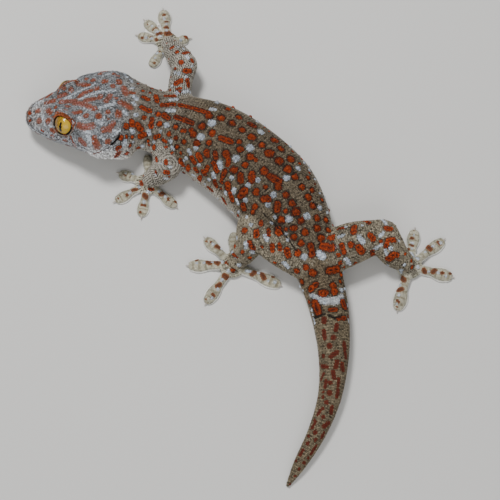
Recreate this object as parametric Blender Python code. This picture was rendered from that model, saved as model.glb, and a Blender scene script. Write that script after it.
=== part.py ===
# Tokay gecko, life size, lying on its belly with the head to -X and the tail to -Y.
# Sizes are in millimetres until a vertex is written; the origin is on the floor under the belly.
import math
import random

import bpy
import bmesh
from mathutils import Matrix, Vector
from mathutils.geometry import intersect_point_line

MM = 0.001
GAP = 0.3                    # clear space between pieces that touch
RNG = random.Random(20)      # the scatter of the tubercles

# Landmarks from snout to tail tip: x, y, half width, height, clearance under the body,
# where the section is widest (share of its height), squareness of the section, roll in degrees
BODY = {
    "snout_tip": (-94.9, 23.0, 2.4, 3.0, 5.0, 0.50, 2.1, 20),
    "nostrils": (-93.4, 23.0, 5.4, 6.2, 3.7, 0.50, 2.2, 20),
    "muzzle": (-89.5, 23.1, 8.4, 9.0, 3.1, 0.47, 2.3, 20),
    "eyes_front": (-84.5, 23.0, 11.2, 11.3, 2.9, 0.44, 2.4, 20),
    "eyes": (-79.0, 22.9, 14.0, 13.4, 2.8, 0.42, 2.4, 20),
    "eyes_rear": (-73.0, 23.2, 17.3, 14.9, 2.8, 0.42, 2.5, 20),
    "jaw_corner": (-66.5, 23.4, 19.9, 16.4, 2.7, 0.43, 2.6, 20),
    "jowls": (-59.5, 23.1, 20.5, 17.0, 2.4, 0.44, 2.6, 19),
    "jaw_rear": (-53.0, 22.8, 19.0, 16.6, 1.8, 0.44, 2.5, 16),
    "nape": (-47.0, 22.4, 14.8, 15.9, 0.9, 0.43, 2.3, 11),
    "neck": (-40.5, 20.9, 13.8, 15.9, 0.2, 0.42, 2.2, 6),
    "shoulders": (-30.5, 17.4, 15.2, 17.4, 0.0, 0.41, 2.2, 2),
    "ribs_front": (-15.0, 10.2, 17.7, 19.8, 0.0, 0.40, 2.2, 0),
    "ribs_middle": (0.5, -1.8, 18.6, 21.0, 0.0, 0.40, 2.2, 0),
    "ribs_back": (11.0, -13.4, 18.7, 20.6, 0.0, 0.40, 2.2, 0),
    "loins": (19.2, -25.2, 15.4, 18.4, 0.0, 0.42, 2.2, 0),
    "hips": (25.6, -36.8, 10.8, 16.0, 0.0, 0.44, 2.2, 0),
    "vent": (29.8, -49.5, 8.9, 14.4, 0.0, 0.46, 2.2, 0),
    "tail_break": (33.0, -64.0, 7.8, 13.2, 0.0, 0.46, 2.2, 0),
    "tail_thick": (34.2, -80.0, 6.3, 11.2, 0.0, 0.46, 2.1, 0),
    "tail_bend": (32.4, -96.5, 4.9, 8.9, 0.0, 0.46, 2.1, 0),
    "tail_thin": (27.2, -111.0, 3.9, 6.9, 0.0, 0.47, 2.0, 0),
    "tail_end": (20.0, -124.0, 2.7, 4.6, 0.0, 0.48, 2.0, 0),
    "tail_tip": (14.6, -133.2, 0.7, 1.3, 0.0, 0.50, 2.0, 0),
}
BELLY_FLAT = 1.10            # how far the round underside is pressed into the floor

# Soft swellings of the skull: distance from the snout, angle above the side, their spreads, height
SWELLINGS = {
    "brow": (18.0, 50, 6.0, 20, 1.1),
    "eye_rear": (24.0, 42, 3.6, 16, 0.7),
    "snout_ridge": (9.5, 52, 4.5, 14, 0.5),
    "forehead_dip": (17.0, 90, 6.0, 16, -0.5),
    "temple_dip": (25.5, 62, 3.0, 20, -0.4),
    "occiput": (37.0, 66, 5.5, 20, 0.7),
    "cheek": (34.0, 8, 6.0, 26, 0.6),
    "throat_pouch": (43.0, -38, 5.0, 24, 2.6),
    "pouch_corner": (46.8, -16, 2.6, 24, 1.9),
    "jaw_side": (33.0, -18, 7.0, 22, 1.3),
    "snout_side_dip": (7.5, 30, 3.5, 22, -0.4),
}

# Cuts between the lengths of the body, as distances from the snout tip
CUTS = {"head": 46.5, "neck": 62.0, "torso": 126.0, "pelvis": 153.5,
        "tail_base": 172.5, "tail_middle": 212.0, "tail_tip": 246.8}
BODY_SIDES = {"head": 32, "neck": 24, "torso": 26, "pelvis": 22,
              "tail_base": 20, "tail_middle": 16, "tail_tip": 12}
ROW_STEP = {"head": 2.2, "neck": 3.4, "torso": 4.4, "pelvis": 3.8,
            "tail_base": 3.0, "tail_middle": 4.5, "tail_tip": 3.6}

# Head details
EYE_RADIUS = 4.8
EYE_PLACE = (18.0, 8.6, 5.2)  # distance from the snout, to the side and above the widest line
EYE_LOOK = (26, 32)          # degrees that the eye looks forward and up from the side
ORBIT = 0.8                  # thickness of the skin that bulges over the eye
LID_OPENING = (4.25, 3.75)   # long and short radius of the opening between the lids
LID_RIM = 0.7                # thickness of the rolled rim of the lids
LID_SLANT = 20
EAR_PLACE = (39.0, 28)
EAR_CUP = (1.0, 2.3, 2.6)    # half width, half length, depth
NOSTRIL_PLACE = (1.9, 55)
NOSTRIL_RADIUS = 0.75
MOUTH_CORNER = 27.0          # distance of the mouth's corner from the snout
MOUTH_ANGLE = -14            # the line of the lips, below the side
MOUTH_GROOVE = 0.42
LIP_RADIUS = 0.75            # the lips thin out to their ends
LIP_SPREAD = 6.5             # degrees from the line of the mouth to the middle of a lip

# Legs: path from inside the body to the far joint as x, y, z, half width, half height
LEGS = {
    "front_right": {
        "upper": [(-30.0, 26.0, 8.5, 5.4, 4.8), (-29.8, 36.0, 9.6, 5.0, 4.6), (-27.8, 44.8, 10.6, 5.4, 4.8)],
        "lower": [(-27.8, 44.8, 10.6, 5.4, 4.8), (-31.8, 51.4, 8.0, 5.0, 4.3), (-35.6, 58.3, 3.6, 3.1, 2.5)],
        "palm": (-35.9, 59.2, 4.6, 3.3),
        "toes": [(237, 14.1, 5.2), (165, 14.4, 5.4), (134, 15.3, 5.6), (98, 16.5, 6.4), (12, 9.9, 4.8)],
    },
    "front_left": {
        "upper": [(-36.6, 16.0, 8.5, 5.6, 5.0), (-36.0, 7.0, 9.8, 5.3, 4.8), (-34.6, -0.6, 10.4, 5.9, 5.2)],
        "lower": [(-34.6, -0.6, 10.4, 5.9, 5.2), (-38.6, -2.9, 7.4, 5.0, 4.4), (-43.2, -4.3, 3.6, 3.2, 2.6)],
        "palm": (-43.5, -5.1, 4.7, 3.3),
        "toes": [(91, 13.8, 4.3), (159, 13.9, 5.6), (210, 16.6, 5.4), (261, 15.7, 5.6), (320, 16.9, 5.2)],
    },
    "hind_left": {
        "upper": [(24.0, -41.5, 8.6, 8.2, 6.6), (12.0, -34.0, 9.6, 8.6, 6.8), (1.0, -27.0, 10.6, 6.4, 5.8)],
        "lower": [(1.0, -27.0, 10.6, 6.4, 5.8), (-0.8, -34.2, 8.0, 6.0, 5.0), (-6.2, -40.2, 3.8, 4.0, 2.9)],
        "palm": (-7.4, -41.0, 5.0, 3.4),
        "toes": [(87, 15.4, 5.2), (134, 17.5, 5.4), (180, 19.6, 6.0), (236, 20.7, 5.8), (337, 23.2, 6.0)],
    },
    "hind_right": {
        "upper": [(30.0, -38.8, 8.6, 9.0, 6.8), (42.5, -33.6, 9.6, 8.8, 6.9), (55.0, -30.4, 10.8, 6.6, 5.8)],
        "lower": [(55.0, -30.4, 10.8, 6.6, 5.8), (59.2, -37.0, 8.0, 6.2, 5.0), (65.4, -41.0, 3.8, 4.0, 2.9)],
        "palm": (66.5, -41.5, 5.0, 3.4),
        "toes": [(121, 14.1, 5.2), (80, 17.4, 6.0), (38, 20.1, 5.6), (346, 19.6, 6.2), (254, 20.6, 6.4)],
    },
}
LEG_SIDES = 12
LEG_ROWS = 6

# One toe from its root to the tip of its claw: share of the reach, half width as a share of
# the pad's, height in mm
TOE = [(0.00, 0.62, 3.0), (0.30, 0.60, 2.5), (0.48, 0.60, 2.1), (0.60, 0.86, 1.8), (0.72, 1.00, 1.7),
       (0.82, 0.84, 1.6), (0.89, 0.44, 1.6), (0.93, 0.26, 1.5), (1.00, 0.07, 0.5)]
TOE_SIDES = 8

# Tubercles: spacing along and round each node, base radius, height, highest angle from the back
TUBERCLES = {
    "neck": (5.2, 17, 0.95, 0.95, 62),
    "torso": (5.4, 15, 1.10, 1.05, 72),
    "pelvis": (5.0, 19, 1.05, 1.10, 70),
    "tail_base": (5.6, 25, 1.15, 1.50, 84),
}
HEAD_TUBERCLES = (4.2, 19, 0.8, 0.55, 66)
TUBERCLE_SUNK = 0.45         # share of a tubercle's base radius that is below the skin
TUBERCLE_SIDES = 4
TUBERCLE_CLEAR = 1.6         # bare skin left round the root of each leg

COLOURS = {
    "head": (0.30, 0.31, 0.33), "eye": (0.50, 0.38, 0.12), "neck": (0.26, 0.22, 0.19),
    "torso": (0.24, 0.19, 0.16), "pelvis": (0.24, 0.19, 0.16), "tail": (0.20, 0.16, 0.12),
    "leg": (0.29, 0.27, 0.25), "foot": (0.46, 0.44, 0.42), "toe": (0.58, 0.56, 0.53),
}


def smooth(keys, values, x):
    # Smooth curve through the values given at the keys
    i = max(k for k in range(len(keys) - 1) if keys[k] <= x or k == 0)
    span = keys[i + 1] - keys[i]
    f = min(max((x - keys[i]) / span, 0.0), 1.0)

    def slope(k):
        a, b = max(k - 1, 0), min(k + 1, len(keys) - 1)
        return (values[b] - values[a]) / (keys[b] - keys[a]) * span

    p, q = values[i], values[i + 1]
    return ((2 * f**3 - 3 * f**2 + 1) * p + (f**3 - 2 * f**2 + f) * slope(i)
            + (3 * f**2 - 2 * f**3) * q + (f**3 - f**2) * slope(i + 1))


LANDMARKS = list(BODY.values())
DISTANCES = [0.0]
for before, after in zip(LANDMARKS, LANDMARKS[1:]):
    DISTANCES.append(DISTANCES[-1] + math.hypot(after[0] - before[0], after[1] - before[1]))
COLUMNS = list(zip(*LANDMARKS))


def body_values(s):
    return [smooth(DISTANCES, column, s) for column in COLUMNS]


def power(value, exponent):
    return math.copysign(abs(value) ** exponent, value)


def head_place(s, across, above):
    # Point at a distance to the left of the skull's axis and above its widest line
    x, y, _, height, lift, level, _, roll = body_values(s)
    turn = math.radians(roll)
    left = across * math.cos(turn) - above * math.sin(turn)
    up = across * math.sin(turn) + above * math.cos(turn)
    return Vector((x, y - left, up + lift + height * level))


def swelling(s, angle):
    # Height of the skull's swellings at a place, alike on both sides
    degrees = math.degrees(math.asin(math.sin(angle)))
    total = 0.0
    for at, above, spread, turn, height in SWELLINGS.values():
        total += height * math.exp(-((s - at) / spread) ** 2 - ((degrees - above) / turn) ** 2)
    return total


def body_point(s, angle, grow=0.0):
    # Point of the skin: angle 0 is the animal's left side, 90 degrees its back
    x, y, half, height, lift, level, square, roll = body_values(s)
    ahead, behind = body_values(s - 0.5), body_values(s + 0.5)
    back = Vector((behind[0] - ahead[0], behind[1] - ahead[1], 0)).normalized()
    left = Vector((back.y, -back.x, 0))
    across = half * power(math.cos(angle), 2 / square)
    reach = height * (1 - level) if math.sin(angle) > 0 else height * level * BELLY_FLAT
    above = reach * power(math.sin(angle), 2 / square)
    flat = Vector((across, above))
    flat += flat.normalized() * (swelling(s, angle) + grow)
    turn = math.radians(roll)
    side = flat.x * math.cos(turn) - flat.y * math.sin(turn)
    up = flat.x * math.sin(turn) + flat.y * math.cos(turn) + lift + height * level
    floor = -grow if grow else 0.0
    return Vector((x, y, 0)) + left * side + Vector((0, 0, max(up, floor)))


def body_frame(s, angle):
    # Place, outward normal and backward direction on the skin
    here = body_point(s, angle)
    along = (body_point(s + 0.4, angle) - body_point(s - 0.4, angle)).normalized()
    round_ = body_point(s, angle + 0.03) - body_point(s, angle - 0.03)
    return here, along.cross(round_).normalized(), along


def new_object(name, bm):
    # Closed mesh as an object, its faces turned outwards
    bmesh.ops.recalc_face_normals(bm, faces=bm.faces[:])
    if bm.calc_volume(signed=True) < 0:
        bmesh.ops.reverse_faces(bm, faces=bm.faces[:])
    mesh = bpy.data.meshes.new(name)
    bm.to_mesh(mesh)
    bm.free()
    thing = bpy.data.objects.new(name, mesh)
    bpy.context.scene.collection.objects.link(thing)
    return thing


def mapped_tube(name, rows, sides, place):
    # Closed tube whose rings are put in place by a function of the row and the angle
    bm = bmesh.new()
    bmesh.ops.create_cone(bm, cap_ends=True, cap_tris=False, segments=sides, radius1=1, radius2=1,
                          depth=rows - 1, matrix=Matrix.Translation((0, 0, (rows - 1) / 2)))
    for row in range(1, rows - 1):
        bmesh.ops.bisect_plane(bm, geom=bm.verts[:] + bm.edges[:] + bm.faces[:], dist=1e-5,
                               plane_co=(0, 0, row), plane_no=(0, 0, 1))
    for vert in bm.verts:
        vert.co = place(round(vert.co.z), math.atan2(vert.co.y, vert.co.x)) * MM
    return new_object(name, bm)


def apply_modifiers(thing):
    evaluated = thing.evaluated_get(bpy.context.evaluated_depsgraph_get())
    mesh = bpy.data.meshes.new_from_object(evaluated)
    thing.modifiers.clear()
    thing.data = mesh


def keep_largest(thing):
    # Of the closed surfaces in a mesh only the largest stays
    bm = bmesh.new()
    bm.from_mesh(thing.data)
    left = set(bm.faces)
    shells = []
    while left:
        shell, edge = [], [left.pop()]
        while edge:
            face = edge.pop()
            shell.append(face)
            near = {f for e in face.edges for f in e.link_faces} & left
            left -= near
            edge.extend(near)
        shells.append(shell)
    shells.sort(key=lambda shell: sum(face.calc_area() for face in shell))
    loose = [face for shell in shells[:-1] for face in shell]
    bmesh.ops.delete(bm, geom=loose, context="FACES")
    bmesh.ops.dissolve_degenerate(bm, dist=1e-7, edges=bm.edges[:])
    bm.to_mesh(thing.data)
    bm.free()


def combine(thing, others, operation):
    # One Boolean with a list of closed objects, which are used up
    group = bpy.data.collections.new("cutters")
    bpy.context.scene.collection.children.link(group)
    for other in others:
        other.hide_render = True
        other.display_type = "WIRE"
        group.objects.link(other)
    modifier = thing.modifiers.new(operation.lower(), "BOOLEAN")
    modifier.operation = operation
    modifier.operand_type = "COLLECTION"
    modifier.collection = group
    apply_modifiers(thing)
    for other in others:
        bpy.data.objects.remove(other)
    bpy.data.collections.remove(group)
    keep_largest(thing)


def body_length(name, start, end, grow=0.0):
    # One length of the body between two cuts, its ends flat
    kind = name.split("-")[0]
    rows = max(3, round((end - start) / ROW_STEP[kind]) + 1)
    first = 0.7 if start == 0 else 1.0     # rings stand closer at the snout

    def place(row, angle):
        share = row / (rows - 1)
        share = share ** (2 - first) if start == 0 else share
        return body_point(start + (end - start) * share, angle, grow)

    return mapped_tube(name, rows, BODY_SIDES[kind], place)


def cone(place, normal, radius, height):
    bm = bmesh.new()
    turn = normal.to_track_quat("Z", "Y").to_matrix().to_4x4()
    sunk = radius * TUBERCLE_SUNK
    bmesh.ops.create_cone(bm, cap_ends=True, segments=TUBERCLE_SIDES, radius1=radius * 1.2 * MM,
                          radius2=0, depth=(height + sunk) * MM,
                          matrix=Matrix.Translation((place + normal * (height - sunk) / 2) * MM) @ turn)
    return new_object("tubercle", bm)


def near_leg(place):
    # True where the skin is about to run into an upper leg
    for leg in LEGS.values():
        for before, after in zip(leg["upper"], leg["upper"][1:]):
            nearest, share = intersect_point_line(place, Vector(before[:3]), Vector(after[:3]))
            if -0.3 < share < 1 and (place - nearest).length < before[3] + TUBERCLE_CLEAR:
                return True
    return False


def tubercles(start, end, pattern):
    # Staggered rows of low cones over the back, leaning to the tail
    step, turn, radius, height, reach = pattern
    cones = []
    rows = int((end - start - 3.0) / step) + 1
    margin = (end - start - (rows - 1) * step) / 2
    across = int(reach / turn)
    for row in range(rows):
        shift = 0.5 * (row % 2)
        for column in range(-across, across + 1):
            angle = 90 + (column + shift) * turn + RNG.uniform(-2.5, 2.5)
            s = start + margin + row * step + RNG.uniform(-0.4, 0.4)
            size = RNG.uniform(0.85, 1.15)
            here, normal, along = body_frame(s, math.radians(angle))
            if abs(angle - 90) > reach or near_leg(here):
                continue
            lean = (normal + along * 0.35).normalized()
            cones.append(cone(here, lean, radius * size, height * size))
    return cones


def sweep(name, points, radius, sides, thin=0.0):
    # Round tube along points that lie nearly level, thinner at its ends and in the middle
    def place(row, angle):
        share = row / (len(points) - 1)
        thick = radius * (1 - thin * math.cos(math.tau * share) ** 4)
        before, after = points[max(row - 1, 0)], points[min(row + 1, len(points) - 1)]
        along = (after - before).normalized()
        side = along.cross(Vector((0, 0, 1))).normalized()
        up = side.cross(along)
        return points[row] + (side * math.cos(angle) + up * math.sin(angle)) * thick

    return mapped_tube(name, len(points), sides, place)


def mouth_path(turn):
    # From the left corner of the mouth round the snout to the right corner
    left, right = [], []
    steps = 11
    for step in range(steps):
        share = step / (steps - 1)
        s = MOUTH_CORNER + (0.5 - MOUTH_CORNER) * share ** 0.8
        angle = math.radians(MOUTH_ANGLE + turn + 7 * (1 - share) ** 3)
        left.append(body_point(s, angle))
        right.append(body_point(s, math.pi - angle))
    front = (left[-1] + right[-1]) / 2 - Vector((0.9, 0, 0))
    path = left + [front] + right[::-1]
    for point in path:
        point.z = max(point.z, LIP_RADIUS)
    return path


def ball(name, place, sizes, turn, segments=16):
    bm = bmesh.new()
    size = Matrix.Diagonal((*[value * MM for value in sizes], 1))
    bmesh.ops.create_uvsphere(bm, u_segments=segments, v_segments=segments // 2 + 2, radius=1,
                              matrix=Matrix.Translation(place * MM) @ turn @ size)
    return new_object(name, bm)


def surface_turn(normal, along, slant=0.0):
    # Matrix with Z along the normal and Y along the skin, turned by the slant
    y = (along - normal * along.dot(normal)).normalized()
    x = y.cross(normal)
    basis = Matrix((x, y, normal)).transposed().to_4x4()
    return basis @ Matrix.Rotation(math.radians(slant), 4, "Z")


def lid_rim(place, turn):
    # Rolled rim round the opening between the lids
    bm = bmesh.new()
    bmesh.ops.create_circle(bm, segments=6, radius=LID_RIM * MM,
                            matrix=Matrix.Translation((MM, 0, 0)) @ Matrix.Rotation(math.pi / 2, 4, "X"))
    bmesh.ops.spin(bm, geom=bm.verts[:] + bm.edges[:], cent=(0, 0, 0), axis=(0, 0, 1), steps=16,
                   angle=math.tau, use_merge=True)
    for vert in bm.verts:
        way = Vector((vert.co.x, vert.co.y, 0)).normalized()
        out = math.hypot(vert.co.x, vert.co.y) - MM
        vert.co.x = way.x * (LID_OPENING[0] * MM + out)
        vert.co.y = way.y * (LID_OPENING[1] * MM + out)
    bmesh.ops.transform(bm, matrix=Matrix.Translation(place * MM) @ turn, verts=bm.verts[:])
    return new_object("lid", bm)


def lid_opening(centre, look, turn):
    # Widening plug that opens the lids in front of the eye
    long, short = LID_OPENING
    bm = bmesh.new()
    bmesh.ops.create_cone(bm, cap_ends=True, segments=16, radius1=0.92, radius2=1.12, depth=6 * MM)
    size = Matrix.Diagonal((long * MM, short * MM, 1, 1))
    place = centre + look * 5.0
    bmesh.ops.transform(bm, matrix=Matrix.Translation(place * MM) @ turn @ size, verts=bm.verts[:])
    return new_object("opening", bm)


def eye_frame(sign):
    # Centre of an eye and the direction it looks, sign 1 for the left eye
    s, across, above = EYE_PLACE
    centre = head_place(s, sign * across, above)
    ahead, up = (math.radians(value) for value in EYE_LOOK)
    beside = head_place(s, sign * (across + math.cos(up)), above + math.sin(up)) - centre
    look = (beside * math.cos(ahead) + Vector((-math.sin(ahead), 0, 0))).normalized()
    return centre, look


def side_angle(sign, above):
    return math.radians(above if sign > 0 else 180 - above)


def make_head(start, end):
    head = body_length("head", start, end)
    added, cut = [], []
    for sign in (1, -1):
        centre, look = eye_frame(sign)
        turn = surface_turn(look, Vector((1, 0, 0)), sign * LID_SLANT)
        rise = math.sqrt(EYE_RADIUS ** 2 - LID_OPENING[0] * LID_OPENING[1])
        added.append(ball("orbit", centre, [EYE_RADIUS + ORBIT] * 3, turn, 16))
        added.append(lid_rim(centre + look * (rise + 0.7), turn))
        cut.append(ball("socket", centre, [EYE_RADIUS + GAP] * 3, turn, 16))
        cut.append(lid_opening(centre, look, turn))

        here, normal, along = body_frame(EAR_PLACE[0], side_angle(sign, EAR_PLACE[1]))
        cut.append(ball("ear", here, EAR_CUP, surface_turn(normal, along, 90 + sign * 25), 12))
        here, normal, along = body_frame(NOSTRIL_PLACE[0], side_angle(sign, NOSTRIL_PLACE[1]))
        cut.append(ball("nostril", here, [NOSTRIL_RADIUS] * 3, surface_turn(normal, along), 8))
    for turn in (-LIP_SPREAD, LIP_SPREAD):
        added.append(sweep("lip", mouth_path(turn), LIP_RADIUS, 6, 0.5))
    cut.append(sweep("mouth", mouth_path(0), MOUTH_GROOVE, 6))
    added += tubercles(26.0, end, HEAD_TUBERCLES)
    combine(head, added, "UNION")
    combine(head, cut, "DIFFERENCE")
    return head


def make_eyes():
    eyes = []
    for sign, side in ((1, "left"), (-1, "right")):
        centre, look = eye_frame(sign)
        eyes.append(ball("eye_" + side, centre, [EYE_RADIUS] * 3, surface_turn(look, Vector((1, 0, 0))), 16))
    return eyes


def leg_tube(name, path, grow=0.0):
    # Tapering tube with round ends along a smooth path
    keys = [0.0]
    for before, after in zip(path, path[1:]):
        keys.append(keys[-1] + (Vector(after[:3]) - Vector(before[:3])).length)
    columns = list(zip(*path))
    length = keys[-1]
    stations = [(0.0, -1.0), (0.0, -0.8), (0.0, -0.45)]
    stations += [(k / (LEG_ROWS - 1), 0.0) for k in range(LEG_ROWS)]
    stations += [(1.0, 0.45), (1.0, 0.8), (1.0, 1.0)]

    def value(column, share):
        return smooth(keys, columns[column], share * length)

    def place(row, angle):
        share, past = stations[row]
        middle = Vector([value(k, share) for k in range(3)])
        near = Vector([value(k, max(share - 0.05, 0)) for k in range(3)])
        far = Vector([value(k, min(share + 0.05, 1)) for k in range(3)])
        along = (far - near).normalized()
        side = along.cross(Vector((0, 0, 1))).normalized()
        up = side.cross(along)
        wide, high = value(3, share) + grow, value(4, share) + grow
        round_off = math.sqrt(max(1 - past * past, 0.0009))
        point = middle + along * past * min(wide, high)
        point += (side * math.cos(angle) * wide + up * math.sin(angle) * high) * round_off
        point.z = max(point.z, -grow)
        return point

    return mapped_tube(name, len(stations), LEG_SIDES, place)


def palm_dome(name, palm, grow=0.0):
    # Low cushion of the hand or foot, flat underneath
    x, y, radius, height = palm
    profile = [(0.80, 0.0), (1.0, 0.22), (1.0, 0.45), (0.86, 0.75), (0.55, 0.95), (0.18, 1.0)]

    def place(row, angle):
        share, level = profile[row]
        reach = radius * share + grow
        up = height * level + (grow if row else -grow)
        return Vector((x + reach * math.cos(angle), y + reach * math.sin(angle), up))

    return mapped_tube(name, len(profile), 16, place)


def toe_tube(name, palm, heading, reach, pad, grow=0.0):
    # Narrow root, wide flat pad and a pointed claw, the sole flat on the floor
    x, y = palm[:2]
    way = Vector((math.cos(math.radians(heading)), math.sin(math.radians(heading)), 0))
    side = Vector((-way.y, way.x, 0))

    def place(row, angle):
        share, wide, high = TOE[row]
        across = (pad / 2 * wide + grow) * math.cos(angle)
        up = high * 0.42 + (high * 0.58 + grow) * math.sin(angle)
        return Vector((x, y, 0)) + way * reach * share + side * across + Vector((0, 0, max(up, -grow)))

    return mapped_tube(name, len(TOE), TOE_SIDES, place)


def trunk_cutter():
    return body_length("torso-cut", CUTS["head"] - 4, CUTS["tail_base"], GAP)


def make_leg(name, leg):
    # Upper and lower leg, palm and five toes, each cut to meet what it grows from
    upper = leg_tube(name + "_upper", leg["upper"])
    combine(upper, [trunk_cutter()], "DIFFERENCE")
    lower = leg_tube(name + "_lower", leg["lower"])
    cut = [trunk_cutter(), leg_tube("cut", leg["upper"], GAP), palm_dome("cut", leg["palm"], GAP)]
    combine(lower, cut, "DIFFERENCE")
    foot = "_hand" if name.startswith("front") else "_foot"
    palm = palm_dome(name + foot, leg["palm"])
    toes = []
    for number, sizes in enumerate(leg["toes"], 1):
        toe = toe_tube(f"{name}_toe_{number}", leg["palm"], *sizes)
        cut = [palm_dome("cut", leg["palm"], GAP)]
        if number > 1:
            cut.append(toe_tube("cut", leg["palm"], *leg["toes"][number - 2], GAP))
        combine(toe, cut, "DIFFERENCE")
        toes.append(toe)
    return [upper, lower, palm, *toes]


def finish(thing, colour):
    material = bpy.data.materials.get(colour) or bpy.data.materials.new(colour)
    material.use_nodes = True
    shader = material.node_tree.nodes["Principled BSDF"]
    shader.inputs["Base Color"].default_value = (*COLOURS[colour], 1)
    shader.inputs["Roughness"].default_value = 0.12 if colour == "eye" else 0.6
    shader.inputs["Metallic"].default_value = 0.0
    thing.data.materials.clear()
    thing.data.materials.append(material)


def main():
    for thing in list(bpy.data.objects):
        bpy.data.objects.remove(thing)
    gecko = bpy.data.collections.new("tokay_gecko")
    bpy.context.scene.collection.children.link(gecko)
    nodes = []
    start = 0.0
    for name, end in CUTS.items():
        stop = end if name == "tail_tip" else end - GAP
        if name == "head":
            node = make_head(start, stop)
        else:
            node = body_length(name, start, stop)
            if name in TUBERCLES:
                combine(node, tubercles(start, stop, TUBERCLES[name]), "UNION")
        finish(node, "tail" if name.startswith("tail") else name)
        nodes.append(node)
        start = end
    for eye in make_eyes():
        finish(eye, "eye")
        nodes.append(eye)
    for name, leg in LEGS.items():
        for node in make_leg(name, leg):
            kind = "toe" if "_toe_" in node.name else "foot" if node.name.endswith(("hand", "foot")) else "leg"
            finish(node, kind)
            nodes.append(node)
    for node in nodes:
        bpy.context.scene.collection.objects.unlink(node)
        gecko.objects.link(node)


main()
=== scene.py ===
# Looks of a tokay gecko: one skin with scales, tubercles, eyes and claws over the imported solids.
# The shapes are worked out in millimetres and turned to metres when a mesh is made.
import math

import bpy
import bmesh
import numpy as np
from mathutils import Matrix, Vector
from mathutils.bvhtree import BVHTree
from mathutils.interpolate import poly_3d_calc


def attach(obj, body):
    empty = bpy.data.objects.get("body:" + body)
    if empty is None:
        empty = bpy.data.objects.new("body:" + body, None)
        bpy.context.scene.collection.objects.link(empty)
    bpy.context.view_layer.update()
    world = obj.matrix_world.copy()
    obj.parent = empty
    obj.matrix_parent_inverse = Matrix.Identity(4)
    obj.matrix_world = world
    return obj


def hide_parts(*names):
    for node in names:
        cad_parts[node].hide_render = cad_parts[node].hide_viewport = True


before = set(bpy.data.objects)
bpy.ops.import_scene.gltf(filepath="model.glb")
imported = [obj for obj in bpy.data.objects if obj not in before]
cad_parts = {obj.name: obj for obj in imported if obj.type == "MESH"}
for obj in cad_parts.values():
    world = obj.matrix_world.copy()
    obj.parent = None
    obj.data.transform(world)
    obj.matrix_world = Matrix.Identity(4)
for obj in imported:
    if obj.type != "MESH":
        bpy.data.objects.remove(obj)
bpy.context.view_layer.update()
mm = 0.001
dice = np.random.default_rng(11)

# Camera: high over the animal's left side, image up is +Y
camera = {"target": (0.0, -34.0, 0.0), "elevation": 75.0, "distance": 620.0,
          "frameWidth": 210.0, "pixels": 500, "sensor": 36.0}

tilt = math.radians(camera["elevation"])
eyePoint = np.array(camera["target"]) + camera["distance"] * np.array([0, -math.cos(tilt), math.sin(tilt)])
viewAhead = np.array([0, math.cos(tilt), -math.sin(tilt)])
viewUp = np.array([0, math.sin(tilt), math.cos(tilt)])


def makeCamera():
    data = bpy.data.cameras.new("camera")
    data.sensor_width = camera["sensor"]
    data.lens = camera["sensor"] * camera["distance"] / camera["frameWidth"]
    data.clip_start = 0.01
    thing = bpy.data.objects.new("camera", data)
    bpy.context.scene.collection.objects.link(thing)
    thing.location = eyePoint * mm
    thing.rotation_euler = (math.pi / 2 - tilt, 0, 0)
    bpy.context.scene.camera = thing


def pixelRay(x, y):
    # Direction from the camera through a pixel of the picture
    half = camera["pixels"] / 2
    scale = camera["frameWidth"] / camera["pixels"] / camera["distance"]
    way = viewAhead + np.array([1.0, 0, 0]) * (x - half) * scale + viewUp * (half - y) * scale
    return Vector(way).normalized()


makeCamera()
print("camera ready")

# Landmarks from snout to tail tip: x, y, half width, height, clearance under the body,
# where the section is widest (share of its height), squareness of the section, roll in degrees
body = {
    "snoutTip": (-94.9, 23.0, 2.4, 3.0, 5.0, 0.50, 2.1, 20),
    "nostrils": (-93.4, 23.0, 5.4, 6.2, 3.7, 0.50, 2.2, 20),
    "muzzle": (-89.5, 23.1, 8.4, 9.0, 3.1, 0.47, 2.3, 20),
    "eyesFront": (-84.5, 23.0, 11.2, 11.3, 2.9, 0.44, 2.4, 20),
    "eyes": (-79.0, 22.9, 14.0, 13.4, 2.8, 0.42, 2.4, 20),
    "eyesRear": (-73.0, 23.2, 17.3, 14.9, 2.8, 0.42, 2.5, 20),
    "jawCorner": (-66.5, 23.4, 19.9, 16.4, 2.7, 0.43, 2.6, 20),
    "jowls": (-59.5, 23.1, 20.5, 17.0, 2.4, 0.44, 2.6, 19),
    "jawRear": (-53.0, 22.8, 19.0, 16.6, 1.8, 0.44, 2.5, 16),
    "nape": (-47.0, 22.4, 14.8, 15.9, 0.9, 0.43, 2.3, 11),
    "neck": (-40.5, 20.9, 13.8, 15.9, 0.2, 0.42, 2.2, 6),
    "shoulders": (-30.5, 17.4, 15.2, 17.4, 0.0, 0.41, 2.2, 2),
    "ribsFront": (-15.0, 10.2, 17.7, 19.8, 0.0, 0.40, 2.2, 0),
    "ribsMiddle": (0.5, -1.8, 18.6, 21.0, 0.0, 0.40, 2.2, 0),
    "ribsBack": (11.0, -13.4, 18.7, 20.6, 0.0, 0.40, 2.2, 0),
    "loins": (19.2, -25.2, 15.4, 18.4, 0.0, 0.42, 2.2, 0),
    "hips": (25.6, -36.8, 10.8, 16.0, 0.0, 0.44, 2.2, 0),
    "vent": (29.8, -49.5, 8.9, 14.4, 0.0, 0.46, 2.2, 0),
    "tailBreak": (33.0, -64.0, 7.8, 13.2, 0.0, 0.46, 2.2, 0),
    "tailThick": (34.2, -80.0, 6.3, 11.2, 0.0, 0.46, 2.1, 0),
    "tailBend": (32.4, -96.5, 4.9, 8.9, 0.0, 0.46, 2.1, 0),
    "tailThin": (27.2, -111.0, 3.9, 6.9, 0.0, 0.47, 2.0, 0),
    "tailEnd": (20.0, -124.0, 2.7, 4.6, 0.0, 0.48, 2.0, 0),
    "tailTip": (14.6, -133.2, 0.7, 1.3, 0.0, 0.50, 2.0, 0),
}
bellyFlat = 1.10    # how far the round underside is pressed into the floor

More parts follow.
